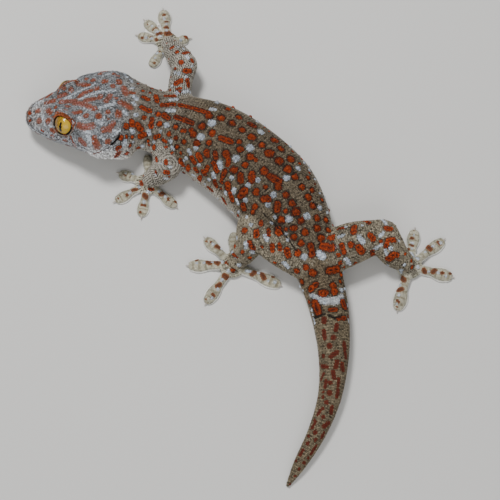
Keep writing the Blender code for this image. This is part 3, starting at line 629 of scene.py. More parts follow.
# Markings, placed by the pixels at which they show; a spot is x, y and its radius, a streak has two ends
# and a radius, all in pixels. Each kind's radii grow by one share.
spots = {
    "rust": [
        (29.5, 112.5, 30.5, 114, 1.9), (30.2, 120.5, 2.0),
        # neck and shoulders
        (141.5, 107, 150, 111.5, 2.3), (156, 96, 157, 101, 2.3), (143, 97, 148, 99.5, 2.0),
        (158.5, 114, 2.6), (164, 115, 168, 118, 2.8), (159.5, 124, 2.8), (144, 117.5, 2.2),
        (152, 119, 151, 127, 2.2), (126.5, 126.5, 3.0), (131.5, 121.5, 132, 124.5, 2.8),
        (138, 125.5, 140.5, 129, 3.2), (132, 137, 2.1), (121, 138, 2.7), (140, 136.5, 144, 134.5, 2.7),
        (169, 134, 2.3), (155, 137, 159, 136, 2.1), (163, 140, 166, 142, 1.6), (148, 141, 1.8),
        (149, 145, 1.4), (154, 147.5, 2.4), (138, 147.5, 2.5), (130, 145.5, 2.2), (118.5, 148, 3.0),
        (126.5, 153.5, 2.5), (118, 153, 115.5, 156.5, 2.1), (126.5, 136.5, 1.9), (166, 147, 1.4),
        (152, 88.5, 2.0), (143, 91, 1.7), (138, 84, 1.2), (170, 90.5, 1.2), (165, 96, 175, 96, 1.6),
        (162, 105, 174, 104.5, 2.2), (180, 105, 192, 108, 2.3), (195, 109, 208, 113, 2.5),
        (176, 117, 192, 123, 2.5), (176, 138, 2.2), (177, 147, 2.4), (182, 131, 185, 131, 2.0),
        (156, 158, 157, 161, 1.3), (172, 153, 1.5), (181, 153, 1.6), (150, 93, 1.2),
        # back
        (176, 127, 2.7), (191, 130, 2.6), (193, 134, 3.4), (202, 126, 3.8), (209, 116, 3.6),
        (221, 118, 3.6), (228, 109, 2.8), (232, 123, 3.6), (239, 117, 3.2), (250, 124, 254, 126, 2.9),
        (242, 130, 3.4), (252, 137, 4.1), (262, 145, 3.5), (273, 140, 276, 141, 3), (281, 149, 3.6),
        (212, 133, 3.4), (209, 143, 2.9), (221, 138, 231, 142, 2.9), (239, 142, 2.8), (240, 149, 3.4),
        (226, 154, 4), (228.8, 160, 227.5, 164.5, 2.4), (215, 153, 216, 158, 2.3),
        (213.5, 163, 217, 171, 2.4), (206.5, 151.5, 207, 155.5, 2.8), (198.5, 155, 200.5, 159.5, 2.8),
        (191.5, 157.5, 194.5, 162.5, 2.2), (180, 159.5, 183.5, 165.5, 1.6),
        (188.8, 166.5, 187.5, 170, 2.4), (184, 142, 2.6), (197, 143, 3.1), (245, 165, 3.2),
        (250, 157, 3.8), (256, 160, 2.2), (234, 170, 3.8), (264, 171, 4.1), (270, 153, 4.6),
        (279, 161, 4.4), (291, 159, 4), (288, 169, 4.4), (295, 177, 3.4), (271, 177, 279, 181, 3.6),
        (278, 187, 3.6), (252, 174, 252, 180, 3.2), (240.5, 175, 240.5, 181, 3.0),
        (227.5, 184.5, 228, 188, 3.0), (214.5, 181, 216.5, 186, 2.0), (225, 171.5, 223.5, 175.5, 2.4),
        (222, 177.5, 221.5, 182, 1.8), (207.5, 167, 206.5, 171, 2.2), (203, 171.5, 205, 174, 2.0),
        (195, 168.5, 197.2, 171.5, 1.8), (200.5, 177, 199.5, 180, 2.1), (208.5, 187.5, 212, 190.5, 1.8),
        (223, 198.5, 226, 203.5, 1.6), (238, 215.5, 1.6), (221, 188.7, 1.4),
        (244.5, 190.5, 240.5, 196, 3.8), (256, 192, 3.6), (266, 187, 2.4), (264, 199, 268, 199, 3.6),
        (286, 195, 3.4), (278, 204, 277, 210, 3.4), (292, 203, 3.4), (296, 212, 4.4), (302, 187, 3.2),
        (312, 190, 2.8), (308, 197, 3.6), (313, 206, 3.4), (322, 200, 2.4), (255, 207, 3),
        (243, 205, 244, 209, 2.6), (230.5, 193.5, 232.5, 200.5, 2.2), (281, 220, 3.6), (301, 221, 3.4),
        (286, 211, 2.4), (308.2, 178, 2.5), (299.5, 163.6, 1.7), (301.5, 158.8, 1.4), (292.5, 151.6, 1.6),
        (309.5, 173, 1.4), (269, 131.5, 1.4), (264.5, 127.6, 1.2), (286.4, 144.4, 1.4), (315, 184, 1.3),
        # hips and the root of the tail
        (317, 218, 3.2), (326, 220, 3.1), (317, 228, 3.5), (328, 230, 3), (286, 229, 2),
        (292, 228, 295, 228, 2.6), (305, 232, 3.7), (294, 237, 3.3), (321, 238, 3.7), (331, 238, 3.4),
        (301, 243, 3.3), (311, 246, 312, 254, 3.2), (323, 247, 331, 248, 4.2), (298, 253, 3.4),
        (306, 267, 3), (313, 273, 3.8), (329, 271, 337, 269, 3.6), (302, 282, 3.2),
        (316, 284.5, 310.5, 289.5, 2.9), (333, 285.6, 3.3), (334.6, 291.6, 3.4), (322, 293, 325, 293, 3.6),
        (340.2, 281.5, 2.2), (341, 275, 2.6), (340, 263, 2.2), (315, 304, 318, 312, 4.1),
        (343, 302, 345, 307, 3.4), (330.5, 309.8, 336, 309.8, 2.3), (338.5, 318.4, 345, 318, 2.1),
        (348, 316.5, 1.6), (309, 302, 2.2),
        # right foreleg
        (171, 48.3, 173, 47, 1.6), (167, 43, 1.0), (177, 52, 1.8), (184, 53.5, 189, 52.5, 1.7),
        (181, 62.5, 2.6), (192, 60.5, 2.2), (171, 66.5, 1.6), (175, 69, 1.3), (185, 71, 190, 71, 2.4),
        (171, 77, 1), (176, 83.5, 181, 80.5, 2.3), (187.5, 80, 188.5, 86, 1.9),
        (176.5, 89, 181, 88.5, 1.1), (180, 91.5, 1.3), (169, 59, 0.9), (186, 36.8, 1.0),
        # left foreleg
        (166, 161, 166, 163.5, 1.7), (165.5, 172, 168, 172.5, 2.2), (169, 176.5, 1.0),
        (155.5, 171, 156, 173, 1.2), (188, 168.7, 2.3), (180, 162.7, 1.5), (141.5, 182, 142, 184.5, 1.7),
        (143.5, 176, 1.2), (149, 189, 153, 189.5, 1.4),
        # left hind leg
        (244.8, 230.6, 3), (256.2, 231.5, 256.4, 235.5, 2.7), (250, 242.5, 253.2, 249, 2.4),
        (268.6, 230, 269, 235, 1.8), (278.2, 229, 278.4, 232.5, 3.5), (272, 245.5, 272.4, 250.5, 2.3),
        (279.6, 245, 280, 249.5, 2.1), (261, 222, 261.3, 225, 2.1), (253, 212, 2.5), (262, 247, 1.5),
        (287, 250, 288, 256, 2.8), (297, 271, 2.6), (275, 263, 1.6), (250, 266, 1.9), (242.5, 252, 2),
        (250, 258, 2), (233, 254, 237, 257, 1.2), (235, 246, 1.8), (233, 270, 2.3), (226, 262, 1.3),
        # right hind leg
        (354, 227, 353, 232, 3), (339, 229, 343, 228, 1.8), (365, 221, 369, 223, 2.1), (379, 219, 1.8),
        (386, 228, 391, 229, 2.3), (370, 235, 373, 239, 2.8), (342, 245, 344, 253, 2.4), (350.5, 245, 2.9),
        (358, 247, 362, 252, 3.1), (381, 241, 1.9), (386, 246, 388, 240, 2.3), (388, 240, 394, 240, 2.5),
        (389, 259, 393, 255, 3.2), (393, 255, 397, 255, 2.8), (372, 251, 373, 255, 1.8),
        (363, 261, 368, 254, 1.2), (355, 263, 2.1), (338.5, 255, 2.1), (333, 236, 2), (344, 267, 1.4),
        (405, 254, 1.6), (412, 267, 2.4), (411, 261, 1.5), (395, 269, 2.5)],
    "white": [
        (168, 110.5, 174, 110.5, 2.1), (170, 100, 177, 99.5, 1.8), (183, 92, 188, 91, 1.5),
        (190, 92.5, 1.6), (177, 93, 2.0), (217, 103, 2.6), (211, 109.5, 215, 109.5, 2.1), (212, 123, 4.1),
        (166.5, 125, 2.8), (149, 131, 149, 134, 1.8), (160.5, 131.5, 1.6), (131.5, 130.5, 133, 132, 2.3),
        (125, 141.5, 124.5, 144.5, 2.5), (133, 142, 1.4), (142.5, 146, 2.1), (201, 137, 3.7),
        (154, 142, 1.3), (129.5, 157, 131, 157, 1.3), (196, 148, 2.6), (188.5, 150, 190.5, 153.5, 1.8),
        (170, 140.5, 171, 142.5, 1.6), (171.5, 147, 173.5, 149, 1.4), (186, 158, 2), (199, 165, 2),
        (213, 174, 214.3, 177.3, 2.1), (209, 179.5, 1.8), (220, 162.5, 220.5, 167.5, 2.5),
        (236, 158.5, 3.6), (250, 148, 3.8), (261, 132, 3.4), (250, 118, 254, 118, 1.8), (257, 122, 1.8),
        (290, 147, 2), (232, 178, 2.2), (225.2, 192, 225.8, 194.3, 1.5), (234, 189.5, 233, 192.5, 2.2),
        (236.8, 200, 238.2, 203.5, 1.4), (245.5, 200, 2.4), (248, 185.5, 2.6), (258, 180, 2.4),
        (273.5, 195, 3), (268, 205, 2.6), (286.5, 178, 3.3), (298, 168.5, 2.6), (304, 163, 1.8),
        (309, 170, 1.6), (289, 219, 3.3), (307, 216, 3.4), (320, 208, 2.6), (327, 213, 1.8), (304, 257, 3),
        (320, 254, 322, 256.5, 3.7), (231, 211, 233.5, 213, 1.1), (238.5, 212, 1.4), (315, 179.6, 1.3),
        (319.6, 193.5, 1.2), (311, 168.5, 1.0), (275, 217, 1.8), (218, 198, 1.2), (184, 160.5, 1.4),
        (192.5, 174.5, 195, 176, 1.3), (205, 184, 1.2),
        # throat and jaw
        (134.5, 97, 136.5, 99, 2.4), (133, 103, 135, 104.5, 1.8), (124, 111.5, 126, 114, 2.2),
        (135, 115, 137, 115, 1.8), (124, 74, 127, 77, 1.7), (131, 80, 132, 82, 1.4),
        (131, 88.5, 134, 88, 1.3), (145, 84, 1.1),
        # tail
        (300.2, 284.5, 1.7), (303.5, 290.5, 1.5), (311.8, 310, 1.8), (312.8, 314.5, 1.5),
        (313.8, 319, 1.5), (314.8, 323, 1.7), (344.4, 289, 1.8), (347.4, 305.3, 1.9), (348.4, 320.5, 1.7),
        (343.2, 277.2, 1.6), (341.5, 290, 2.4), (324.5, 303, 1.6), (313, 296, 1.6),
        # legs
        (179, 73.5, 2.0), (175, 72.5, 1.5), (186.5, 56, 188, 58, 1.7), (183.5, 49, 1.5), (178, 47, 1.1),
        (186, 77, 1.8), (192, 66, 1.4), (172, 86, 1.5), (164.5, 178.5, 167, 178.5, 1.6), (155.5, 175, 1.1),
        (170, 167, 1.6), (161, 163.5, 1.1), (156, 185.5, 160, 185.5, 1.0),
        # toes
        (166.5, 30.2, 1.5), (164, 18.8, 1.5), (166.5, 24, 1.4), (156, 31.8, 158, 31.2, 1.3),
        (159, 36.5, 161, 36.5, 1.3), (152, 26, 1.3), (152, 38.7, 1.5), (146, 37.7, 1.5), (157, 53, 1.5),
        (163, 53.5, 1.0), (155, 58, 1.2), (181, 40, 1.6), (133, 174, 1.6), (126, 173, 1.1),
        (130, 192.8, 1.6), (139, 187, 1.5), (144, 202, 1.6), (147, 192, 149, 192, 1.3),
        (165.5, 196.5, 1.7), (159, 191, 1.4), (221.5, 249, 1.7), (213, 244, 1.6), (222.5, 262, 1.7),
        (204, 263, 1.5), (212.5, 262.5, 1.2), (197, 263, 1.2), (228, 271, 1.6), (222, 280, 1.7),
        (218, 289, 1.6), (212, 298, 1.6), (247, 271, 250, 271, 1.6), (258.5, 273, 1.6), (275, 282, 1.6),
        (268, 281, 1.1), (232, 252, 1.4), (253, 253, 1.6), (411, 242.5, 413, 243, 1.1), (414, 235, 1.1),
        (412, 248.5, 1.1), (433, 246, 1.6), (413, 256, 1.6), (425, 252, 1.2), (441, 243, 1.5),
        (418, 267, 1.7), (429, 271.5, 1.2), (438, 272.5, 1.5), (446, 276, 1.3), (401, 272, 1.9),
        (400, 285, 1.6), (399, 295, 1.5), (397, 304, 1.2), (405, 264, 1.4),
        # hind legs
        (246, 243, 246, 247, 2), (265, 236, 267, 240, 2.1), (251, 225, 1.9), (247, 217, 1.4),
        (286, 234, 1.7), (288, 240, 1.9), (272, 223, 1.6), (284, 263, 288, 267, 2.3), (239, 265, 2.3),
        (237, 238, 1.5), (252, 252, 1.8), (236, 257, 1.3), (359, 237, 363, 242, 2.4),
        (339, 237, 343, 235, 1.6), (346, 227, 1.7), (362, 225.5, 1.7), (346, 259, 350, 264, 2),
        (382, 220, 386, 224, 1.6), (385, 250, 387, 255, 1.7), (380, 236, 383, 233, 1.6),
        (375, 249, 381, 245, 1.7), (391, 248, 2.2), (401, 270, 2.4), (388, 265, 1.4), (404, 265, 1.7),
        (399, 241, 1.2), (411, 253, 418, 259, 1.3), (336, 247, 1.6)],
    "brick": [
        (38, 111, 2.6), (46, 103, 54, 101, 2.1), (48, 110, 50, 113, 2.4), (55, 108, 56, 107, 1.2),
        (48, 121, 2.4), (39, 121, 2.6), (61, 102, 75, 101, 2.1), (75, 103, 82, 104, 2.4),
        (82, 104, 95, 109, 2.2), (59, 97, 66, 94, 1.8), (47, 97, 51, 94, 1.8), (55, 91, 57, 90, 1.6),
        (64, 88, 2), (71, 89.5, 2.1), (77, 83, 88, 85, 2.3), (86, 79, 1.8), (79, 97, 84, 93, 1.8),
        (84, 93, 91, 91, 1.8), (97, 88.5, 2.4), (93, 80.5, 2.2), (104.8, 81.5, 2.8), (100, 74, 2),
        (85, 101, 94, 99, 2.2), (99, 98, 101, 96, 2.1), (106, 101, 110, 96, 2.2), (113, 86, 2.2),
        (119, 81, 119, 83, 2.4), (118, 76, 1.8), (114, 74, 1.9), (66, 106, 69, 107, 1.2),
        (74, 113, 80, 112, 1.9), (86, 116, 2.4), (98, 115, 99, 117, 2.3), (108, 112, 2.1),
        (118.5, 112, 118.5, 115.5, 2.5), (108, 119, 1.2), (79, 125.5, 85, 127.5, 2.7),
        (85, 127.5, 92, 126, 2.7), (104, 130, 109, 129, 2.7), (110.5, 127.5, 113.5, 123, 2.2),
        (80.5, 140, 84.5, 144, 2.4), (94, 138, 2.1), (95.5, 142, 97, 146.5, 2.9), (108, 141.5, 2.3),
        (120.5, 102.5, 130, 107.5, 2.6), (124, 88, 125.5, 93.5, 2.5), (128, 92.5, 134, 93, 1.5),
        (116, 98, 1.4), (71, 136, 72, 139, 0.9), (54, 117, 1.6), (52, 130, 56, 131, 2),
        (64, 135, 67, 136, 1.4), (41, 130, 43, 131, 1), (51, 135.5, 53, 136, 1.1), (64, 140, 66, 141, 1.2),
        (118, 155, 120, 152, 1.6), (70.5, 136.4, 74.7, 144, 0.9), (74.7, 144, 79.6, 149.7, 0.9),
        (79.6, 149.7, 87, 153.4, 0.9), (87, 153.4, 94, 153.4, 0.9), (94, 153.4, 101, 151, 0.8),
        (86, 71, 88, 71, 1.2)],
    "paleLine": [
        (62, 101, 74, 94, 1.3), (74, 94, 95, 84, 1.4), (80, 99, 98, 92, 1.5), (98, 92, 115, 91, 1.8),
        (77, 105, 91, 110, 1.3), (99, 108, 114, 104, 2), (79, 118, 82, 119, 2.4), (98, 121, 101, 124, 2.6),
        (113, 130, 117, 132, 1.8), (84, 131, 90, 133, 1.6), (88, 137, 92, 142, 2.4),
        (104, 116, 103, 122, 1.2), (100, 136, 104, 140, 1.2), (60, 109, 66, 111, 1.2),
        (43, 116, 45, 125, 1.6), (33, 106, 46, 98, 1.2), (106, 75, 110, 74, 1.8), (82, 90, 90, 87, 1.4),
        (49, 126, 54, 127, 1.4), (73, 121, 72, 126, 1), (69, 99, 71, 98, 1.6), (81, 99, 83, 98, 1.8),
        (110, 104, 112, 105, 2), (66, 90, 1), (75, 146, 84, 151, 1.2), (120, 130, 113, 136, 1.2),
        (321, 299.8, 336, 301.2, 4.4), (311.4, 295.4, 318, 298, 3.0), (336, 300.5, 342, 297, 3.6)],
    "toeBar": [
        (166.5, 33.5, 170, 33.5, 2.3), (165.5, 27.5, 167.5, 27.5, 1.5), (165, 21.7, 168, 21.7, 0.8),
        (163.5, 15, 165, 15, 1), (157.5, 34, 161, 33, 1.5), (153, 30, 157, 28, 0.8), (147.5, 24.5, 0.8),
        (156.5, 39.5, 1.5), (142, 38, 1.2), (150, 37, 152.5, 37.5, 0.7), (159.5, 51.7, 0.8),
        (154.5, 63, 0.9), (147.5, 63, 150.5, 60, 0.8), (185, 36.5, 187, 38, 1.1), (163, 48, 1),
        (174.5, 40.5, 1), (136, 174.5, 137, 177, 1.5), (124, 175, 126, 175.7, 0.6), (130, 177, 0.7),
        (132.5, 190, 136.5, 189.5, 1.3), (127, 195, 1.4), (118, 198.5, 0.8), (144, 195, 146.5, 197, 2),
        (141.5, 205, 145.5, 205.5, 1), (140.5, 212, 1.2), (161, 194, 163, 193.5, 1.9),
        (168, 198.5, 168.5, 200, 1), (175.5, 202, 1.2), (176.5, 207, 0.8), (222, 253.5, 224, 251, 1.7),
        (217, 246.5, 219, 247.5, 1.9), (211, 242, 1), (206.5, 241.5, 0.8), (216, 262, 218, 263, 2),
        (208, 262, 210, 263, 2), (196, 260.5, 198, 260, 0.8), (189, 262, 191, 262, 0.7),
        (224, 275.5, 227, 277.5, 2.1), (217, 286, 220, 284.5, 1.8), (212.5, 294, 214, 296, 1.2),
        (206, 299, 0.7), (252, 274.5, 255, 272, 1.8), (262, 274, 264, 278, 2), (272, 277, 274, 277, 0.8),
        (227, 262, 228, 264, 1.1), (408, 250, 1.7), (410, 245, 413, 246, 0.9), (411, 238, 413, 238.5, 1),
        (414, 231, 0.6), (419, 253, 421, 255, 1.7), (428, 247, 430, 249, 2), (438, 242, 440, 244, 1.2),
        (424, 270, 425, 272, 1.9), (433, 272, 435, 270, 1.8), (441.5, 273, 443, 273, 1.3),
        (449.5, 273.5, 451, 273.5, 1), (402, 278, 404, 280, 2), (398, 290, 402, 289, 1.7),
        (397, 300, 399, 302, 1), (397, 307, 0.7)],
    # Painted shade along the cheek fold, in the ear slit and the armpit, along the thigh and in the knee's
    # fold; the rods across the tail make a dark band
    "dark": [
        (112, 144.5, 107, 148.5, 0.5), (107, 148.5, 101, 150.5, 0.4), (137, 152, 143, 149, 0.8),
        (143, 149, 149.5, 141.8, 0.6), (262, 212.5, 271, 220.5, 0.85), (271, 220.5, 284, 233.5, 0.95),
        (284, 233.5, 297, 251, 0.85), (250, 233, 253, 246, 0.8), (253, 246, 257.5, 253.5, 0.95),
        (314.5, 317.6, 318, 316.6, 1.5), (318, 316.6, 321.5, 314.6, 1.2),
        (329.5, 315.8, 334.6, 318.2, 1.6), (334.6, 317.6, 341, 316, 1.5), (341, 316, 349, 316.2, 1.4),
        (322, 314, 329, 315, 0.7), (112.4, 144, 119, 137.6, 0.9)],
    "tailSpot": [
        (324.2, 319, 324.2, 321.5, 2.5), (337, 325, 336, 330, 2.1), (323.8, 331, 324.8, 338, 2.1),
        (333.3, 337.3, 2.6), (329.6, 345.9, 2.7), (344, 343, 345, 349, 2.1), (323.2, 356, 2),
        (331, 356.5, 337, 352.3, 2.2), (345, 352, 346, 358, 1.7), (320, 364, 1.3), (322, 366, 327, 367, 2),
        (337, 361.5, 336, 367, 2.2), (342, 364, 343, 370, 2.1), (324, 373, 321, 380, 1.3),
        (333, 372, 334, 378, 2.1), (326, 381, 325, 387, 1.6), (330.1, 382.7, 2.2),
        (339, 379, 338, 386, 1.6), (338, 390, 337, 397, 1.9), (329.6, 392.8, 2.6), (323.2, 392.3, 1.5),
        (323, 397, 1.7), (318.4, 398.1, 1), (326.4, 402.4, 2.2), (318, 403.5, 315.5, 407, 1.2),
        (322.7, 408.8, 1.6), (332, 407, 331, 413, 1.9), (320, 411, 317.5, 415, 1.5), (323.2, 416.8, 1.9),
        (314.7, 420.5, 1.6), (315.5, 422, 312, 428, 1.6), (324, 426.5, 328.5, 423, 2.1),
        (315.2, 432.3, 2.3), (324, 433, 321.5, 438, 1.5), (308.3, 436, 1.6), (315.2, 439.7, 1.8),
        (307.7, 443.5, 1.9), (316, 446, 311, 454, 1.5), (303, 450, 300, 455, 1.5), (308.3, 458, 1.5),
        (296, 461, 1.5), (304, 463, 1.6), (299, 469, 1.4), (291, 469, 1.2), (295, 476, 1.3),
        (288, 478, 1.1), (290, 484, 1.1), (283, 487, 0.9)],
}
kinds = list(spots)
spotGrowth = {"rust": 1.14, "white": 1.2, "brick": 1.5, "paleLine": 1.25, "toeBar": 1.6, "dark": 1,
              "tailSpot": 1.3}


def spotCapsules():
    # The spots that show, as short rods on the skin: kind, both ends, radius in millimetres
    rods = []
    pixel = camera["frameWidth"] / camera["pixels"]
    for kind, places in spots.items():
        for spot in places:
            ends = seen(skinTree, [spot[:2], spot[-3:-1]])   # both are the one place of a round spot
            if len(ends) == 2:
                rods.append([kinds.index(kind), *ends[0], *ends[1], spot[-1] * pixel * spotGrowth[kind]])
    return np.array(rods)


def isSeen(point):
    hit = skinTree.ray_cast(Vector(eyePoint), (Vector(point) - Vector(eyePoint)).normalized())[0]
    return hit is not None and (hit - Vector(point)).length < 1.2


# Spots on the sides that the camera doesn't see, in rows across the trunk and the tail: millimetres from
# the snout, sizes and distances in millimetres, and the belly stays clear from some degrees down the side
hidden = {"step": 5.7, "white": 0.24, "rust": (1.5, 2.1), "pale": (1.2, 1.8), "jitter": 0.5, "clear": 4.2,
          "trunk": (48, 168), "tail": (172, 240), "tailStep": 4.4, "tailSize": 0.55, "belly": 28}


def hiddenSpots(rods):
    fresh = []
    taken = rods[:, 1:4].tolist()
    for start, end, step, kind in ((*hidden["trunk"], hidden["step"], "rust"),
                                   (*hidden["tail"], hidden["tailStep"], "tailSpot")):
        for row, s in enumerate(np.arange(start, end, step)):
            ring = bodyPoint(s, np.linspace(0, math.tau, 80))
            count = max(int(lengths(np.diff(ring, axis=0)).sum() / step), 4)
            for i in range(count):
                angle = math.tau * (i + 0.5 * (row % 2)) / count
                if math.sin(angle) < -math.sin(math.radians(hidden["belly"])):
                    continue
                off = dice.normal(0, hidden["jitter"], 2)
                point = bodyPoint(s + off[0], angle + off[1] / 12)
                near = lengths(np.array(taken) - point).min()
                if near < hidden["clear"] * step / hidden["step"] or isSeen(point):
                    continue
                white = kind == "rust" and dice.random() < hidden["white"]
                size = dice.uniform(*hidden["pale" if white else "rust"])
                size *= hidden["tailSize"] if kind == "tailSpot" else 1
                fresh.append([kinds.index("white" if white else kind), *point, *point, size])
                taken.append(point.tolist())
    for rod in rods[np.isin(rods[:, 0], [kinds.index("brick"), kinds.index("paleLine")])]:
        ends = mirrored(rod[1:7].reshape(2, 3))
        if not isSeen(ends.mean(0)):
            fresh.append([rod[0], *ends[0], *ends[1], rod[7]])
    return np.array(fresh)


rods = spotCapsules()
rods = np.concatenate([rods, hiddenSpots(rods)])
# The line of the mouth and the nostrils are painted dark: painted shade in the groove and the openings
paintedShadeRadius = {"mouth": 0.30, "nostril": 0.55}
crease = mouthPath()[::4]
rods = np.concatenate([rods, [[kinds.index("dark"), *a, *b, paintedShadeRadius["mouth"]]
                              for a, b in zip(crease, crease[1:])]])
pits = [sidePoint(sign, *nostril["place"]) for sign in (1, -1)]
rods = np.concatenate([rods, [[kinds.index("dark"), *pit, *pit, paintedShadeRadius["nostril"]] for pit in pits]])
print("spots:", len(rods))


farOff = -0.6   # value away from every spot


def markValues(points):
    # For each kind of spot 1 at its middle, 0 on its edge, below 0 around it
    values = {kind: np.full(len(points), farOff) for kind in kinds}
    order = np.argsort(points[:, 0])
    sortedX = points[order, 0]
    for rod in rods:
        a, b, radius = rod[1:4], rod[4:7], rod[7]
        reach = radius * (1 - farOff)
        low, high = np.searchsorted(sortedX, [min(a[0], b[0]) - reach, max(a[0], b[0]) + reach])
        near = order[low:high]
        near = near[np.abs(points[near, 1] - (a[1] + b[1]) / 2) < reach + abs(a[1] - b[1]) / 2]
        gap, _ = fromRod(points[near], a, b)
        value = values[kinds[int(rod[0])]]
        value[near] = np.maximum(value[near], 1 - gap / radius)
    return values


def linear(*rgb):
    # Screen values 0 to 255 as the light they stand for
    value = np.array(rgb, float) / 255
    return np.where(value < 0.04045, value / 12.92, ((value + 0.055) / 1.055) ** 2.4)


# Ground colours between the spots, as screen values; the colour inside the lids' rim and the right lid's
# colour are painted shade
ground = {
    "snoutTip": (124, 100, 86), "snout": (176, 176, 177), "headTop": (147, 151, 155),
    "headSide": (186, 190, 196), "throat": (240, 241, 243), "neck": (137, 129, 117), "back": (116, 105, 87),
    "flank": (204, 199, 188), "belly": (206, 202, 196), "tailBase": (124, 110, 89), "tail": (127, 115, 93),
    "tailBelow": (186, 182, 172), "lidWallShadow": (28, 18, 12), "lidUpper": (150, 78, 40),
    "lidRightShaded": (92, 58, 46), "lidLower": (150, 140, 134), "arm": (162, 157, 146), "leg": (147, 138, 119),
    "legBelow": (204, 200, 190), "hand": (156, 150, 135), "toe": (210, 206, 184),
    "toeRim": (255, 255, 250), "toeBand": (134, 120, 90),
}
# Where one ground colour turns to the next: millimetres from the snout
turns = {"snoutTip": (0.3, 2.4), "snout": (3, 14), "throat": (34, 20), "nape": (37, 50), "neck": (55, 75),
         "rump": (142, 156), "newTail": (163, 167)}
# Bands across the toes: how close, how strong; the dark line beside a toe's middle: strength and place
toeMarks = {"bands": 44, "band": 0.55, "line": 0.45, "lineAt": (0.66, 0.10)}
# How far a lid's colour reaches on each eye, as shares of the opening, how soft its edge is, and where the
# painted shadow inside the rim fades
lidColour = {1: (1.13, 0.10), -1: (1.08, 0.0), "soft": 0.12, "wallShadow": (1.0, 1.05)}


def partKinds(found):
    return np.array([kind for _, kind, _ in parts])[found[:, 0].astype(int)]


def groundColour(found, points):
    # The colour between the spots for places on parts, as light
    shade = {name: linear(*value) for name, value in ground.items()}
    kind = partKinds(found)
    s = found[:, 1] * bodyLength
    angle = found[:, 2] * math.tau - math.pi / 2
    high = np.sin(angle)   # -1 on the belly, 1 on the back

    def blend(a, b, share):
        return a + (b - a) * share[:, None]

    top = blend(shade["snout"], shade["headTop"], ease(s, *turns["snout"]))
    top = blend(shade["snoutTip"], top, ease(s, *turns["snoutTip"]))
    share = ease(high + 0.4 * ease(s, *turns["throat"]), -0.05, 0.35)
    head = blend(blend(shade["throat"], shade["headSide"], share), top, ease(high, 0.0, 0.55))
    middle = blend(shade["neck"], shade["back"], ease(s, *turns["neck"]))
    flank = blend(shade["belly"], shade["flank"], ease(high, -0.75, -0.25))
    trunk = blend(flank, middle, ease(high, -0.05, 0.6))
    rear = blend(blend(shade["tailBelow"], shade["tailBase"], ease(high, -0.3, 0.2)),
                 blend(shade["tailBelow"], shade["tail"], ease(high, -0.3, 0.45)),
                 ease(s, *turns["newTail"]))
    colour = blend(head, trunk, ease(s, *turns["nape"]))
    colour = blend(colour, rear, ease(s, *turns["rump"]))
    front = np.array([name.startswith("front") for name, *_ in parts])[found[:, 0].astype(int)]
    leg = np.where(front[:, None], shade["arm"], shade["leg"])
    leg = blend(leg, shade["hand"], ease(found[:, 1], 0.72, 0.95) * (kind == "lower") * front)
    leg = blend(shade["legBelow"], leg, ease(high, -0.6, 0.1))
    colour = np.where(np.isin(kind, ["upper", "lower"])[:, None], leg, colour)
    palm = blend(shade["toe"], shade["hand"], ease(found[:, 1], 0.4, 0.75))
    colour = np.where((kind == "palm")[:, None], palm, colour)
    toe = blend(shade["toeRim"], shade["toe"], ease(high, 0.25, 0.75))
    line = toeMarks["line"] * bump(high, *toeMarks["lineAt"]) * ease(found[:, 1], 0.3, 0.5)
    toe = toe * (1 - line)[:, None]
    bands = ease(np.sin(found[:, 1] * toeMarks["bands"] + found[:, 0] * 2), 0.1, 0.8)
    toe = blend(toe, shade["toeBand"], toeMarks["band"] * (bands * ease(high, 0.75, 0.92)))
    colour = np.where((kind == "toe")[:, None], toe, colour)
    head = np.flatnonzero(points[:, 0] < headBehind["lids"])
    for sign in (1, -1):
        share, up, *_ = eyeShare(points[head], sign)
        # The right eye's upper lid takes the lid's colour painted in shade
        upper = shade["lidUpper" if sign > 0 else "lidRightShaded"]
        lid = shade["lidLower"] + (upper - shade["lidLower"]) * ease(up, -0.35, 0.1)[:, None]
        far, higher = lidColour[sign]
        far = far + higher * ease(up, 0.0, 0.5)
        near = 1 - ease(share, far, far + lidColour["soft"])
        near = near[:, None] * (0.45 + 0.55 * ease(up, -0.35, 0.1))[:, None]
        colour[head] += (lid - colour[head]) * near
        # The skin inside the lids' rim is painted nearly black: painted shadow under the lid
        wallShadow = (1 - ease(share, *lidColour["wallShadow"]))[:, None]
        colour[head] += (shade["lidWallShadow"] - colour[head]) * wallShadow
    return colour


def setValues(mesh, name, values):
    wide = values.ndim > 1
    layer = mesh.attributes.new(name, "FLOAT_COLOR" if wide else "FLOAT", "POINT")
    if wide:
        values = np.concatenate([values, np.ones((len(values), 1))], 1)
    layer.data.foreach_set("color" if wide else "value", values.astype(np.float32).ravel())


# How bright the skin is between the scales, as painted shade, and how much a tubercle's tip darkens at most
gapShade = {"body": 0.43, "tail": 0.70, "head": 0.60, "throat": 0.9, "leg": 0.58, "toe": 0.94, "palm": 0.74,
            "tip": 0.95}


def markSkin(mesh):
    points, _ = meshArrays(mesh)
    found = nearestPart(points)
    kind = partKinds(found)
    # Painted shade between the scales: how dark the skin stays on the head, throat, trunk, tail, legs, palms
    # and toes
    low = ease(np.sin(found[:, 2] * math.tau - math.pi / 2), 0.3, -0.1)
    head = gapShade["head"] + (gapShade["throat"] - gapShade["head"]) * low
    body = head + (gapShade["body"] - head) * ease(found[:, 1] * bodyLength, 44, 56)
    body = body + (gapShade["tail"] - body) * ease(found[:, 1] * bodyLength, 156, 166)
    shade = np.select([kind == "toe", kind == "palm", kind == "body"],
                      [gapShade["toe"], gapShade["palm"], body], gapShade["leg"])
    setValues(mesh, "ground", groundColour(found, points))
    # The skin takes a low shade on the scales' ramp and the gap's darkening: painted shade between the
    # scales
    setValues(mesh, "vary", np.where(kind == "toe", 0.6, 0.25))
    setValues(mesh, "gap", shade)
    for kind, value in markValues(points).items():
        setValues(mesh, kind, np.clip(value, farOff, 1))


markSkin(blankMesh)
print("skin marked")


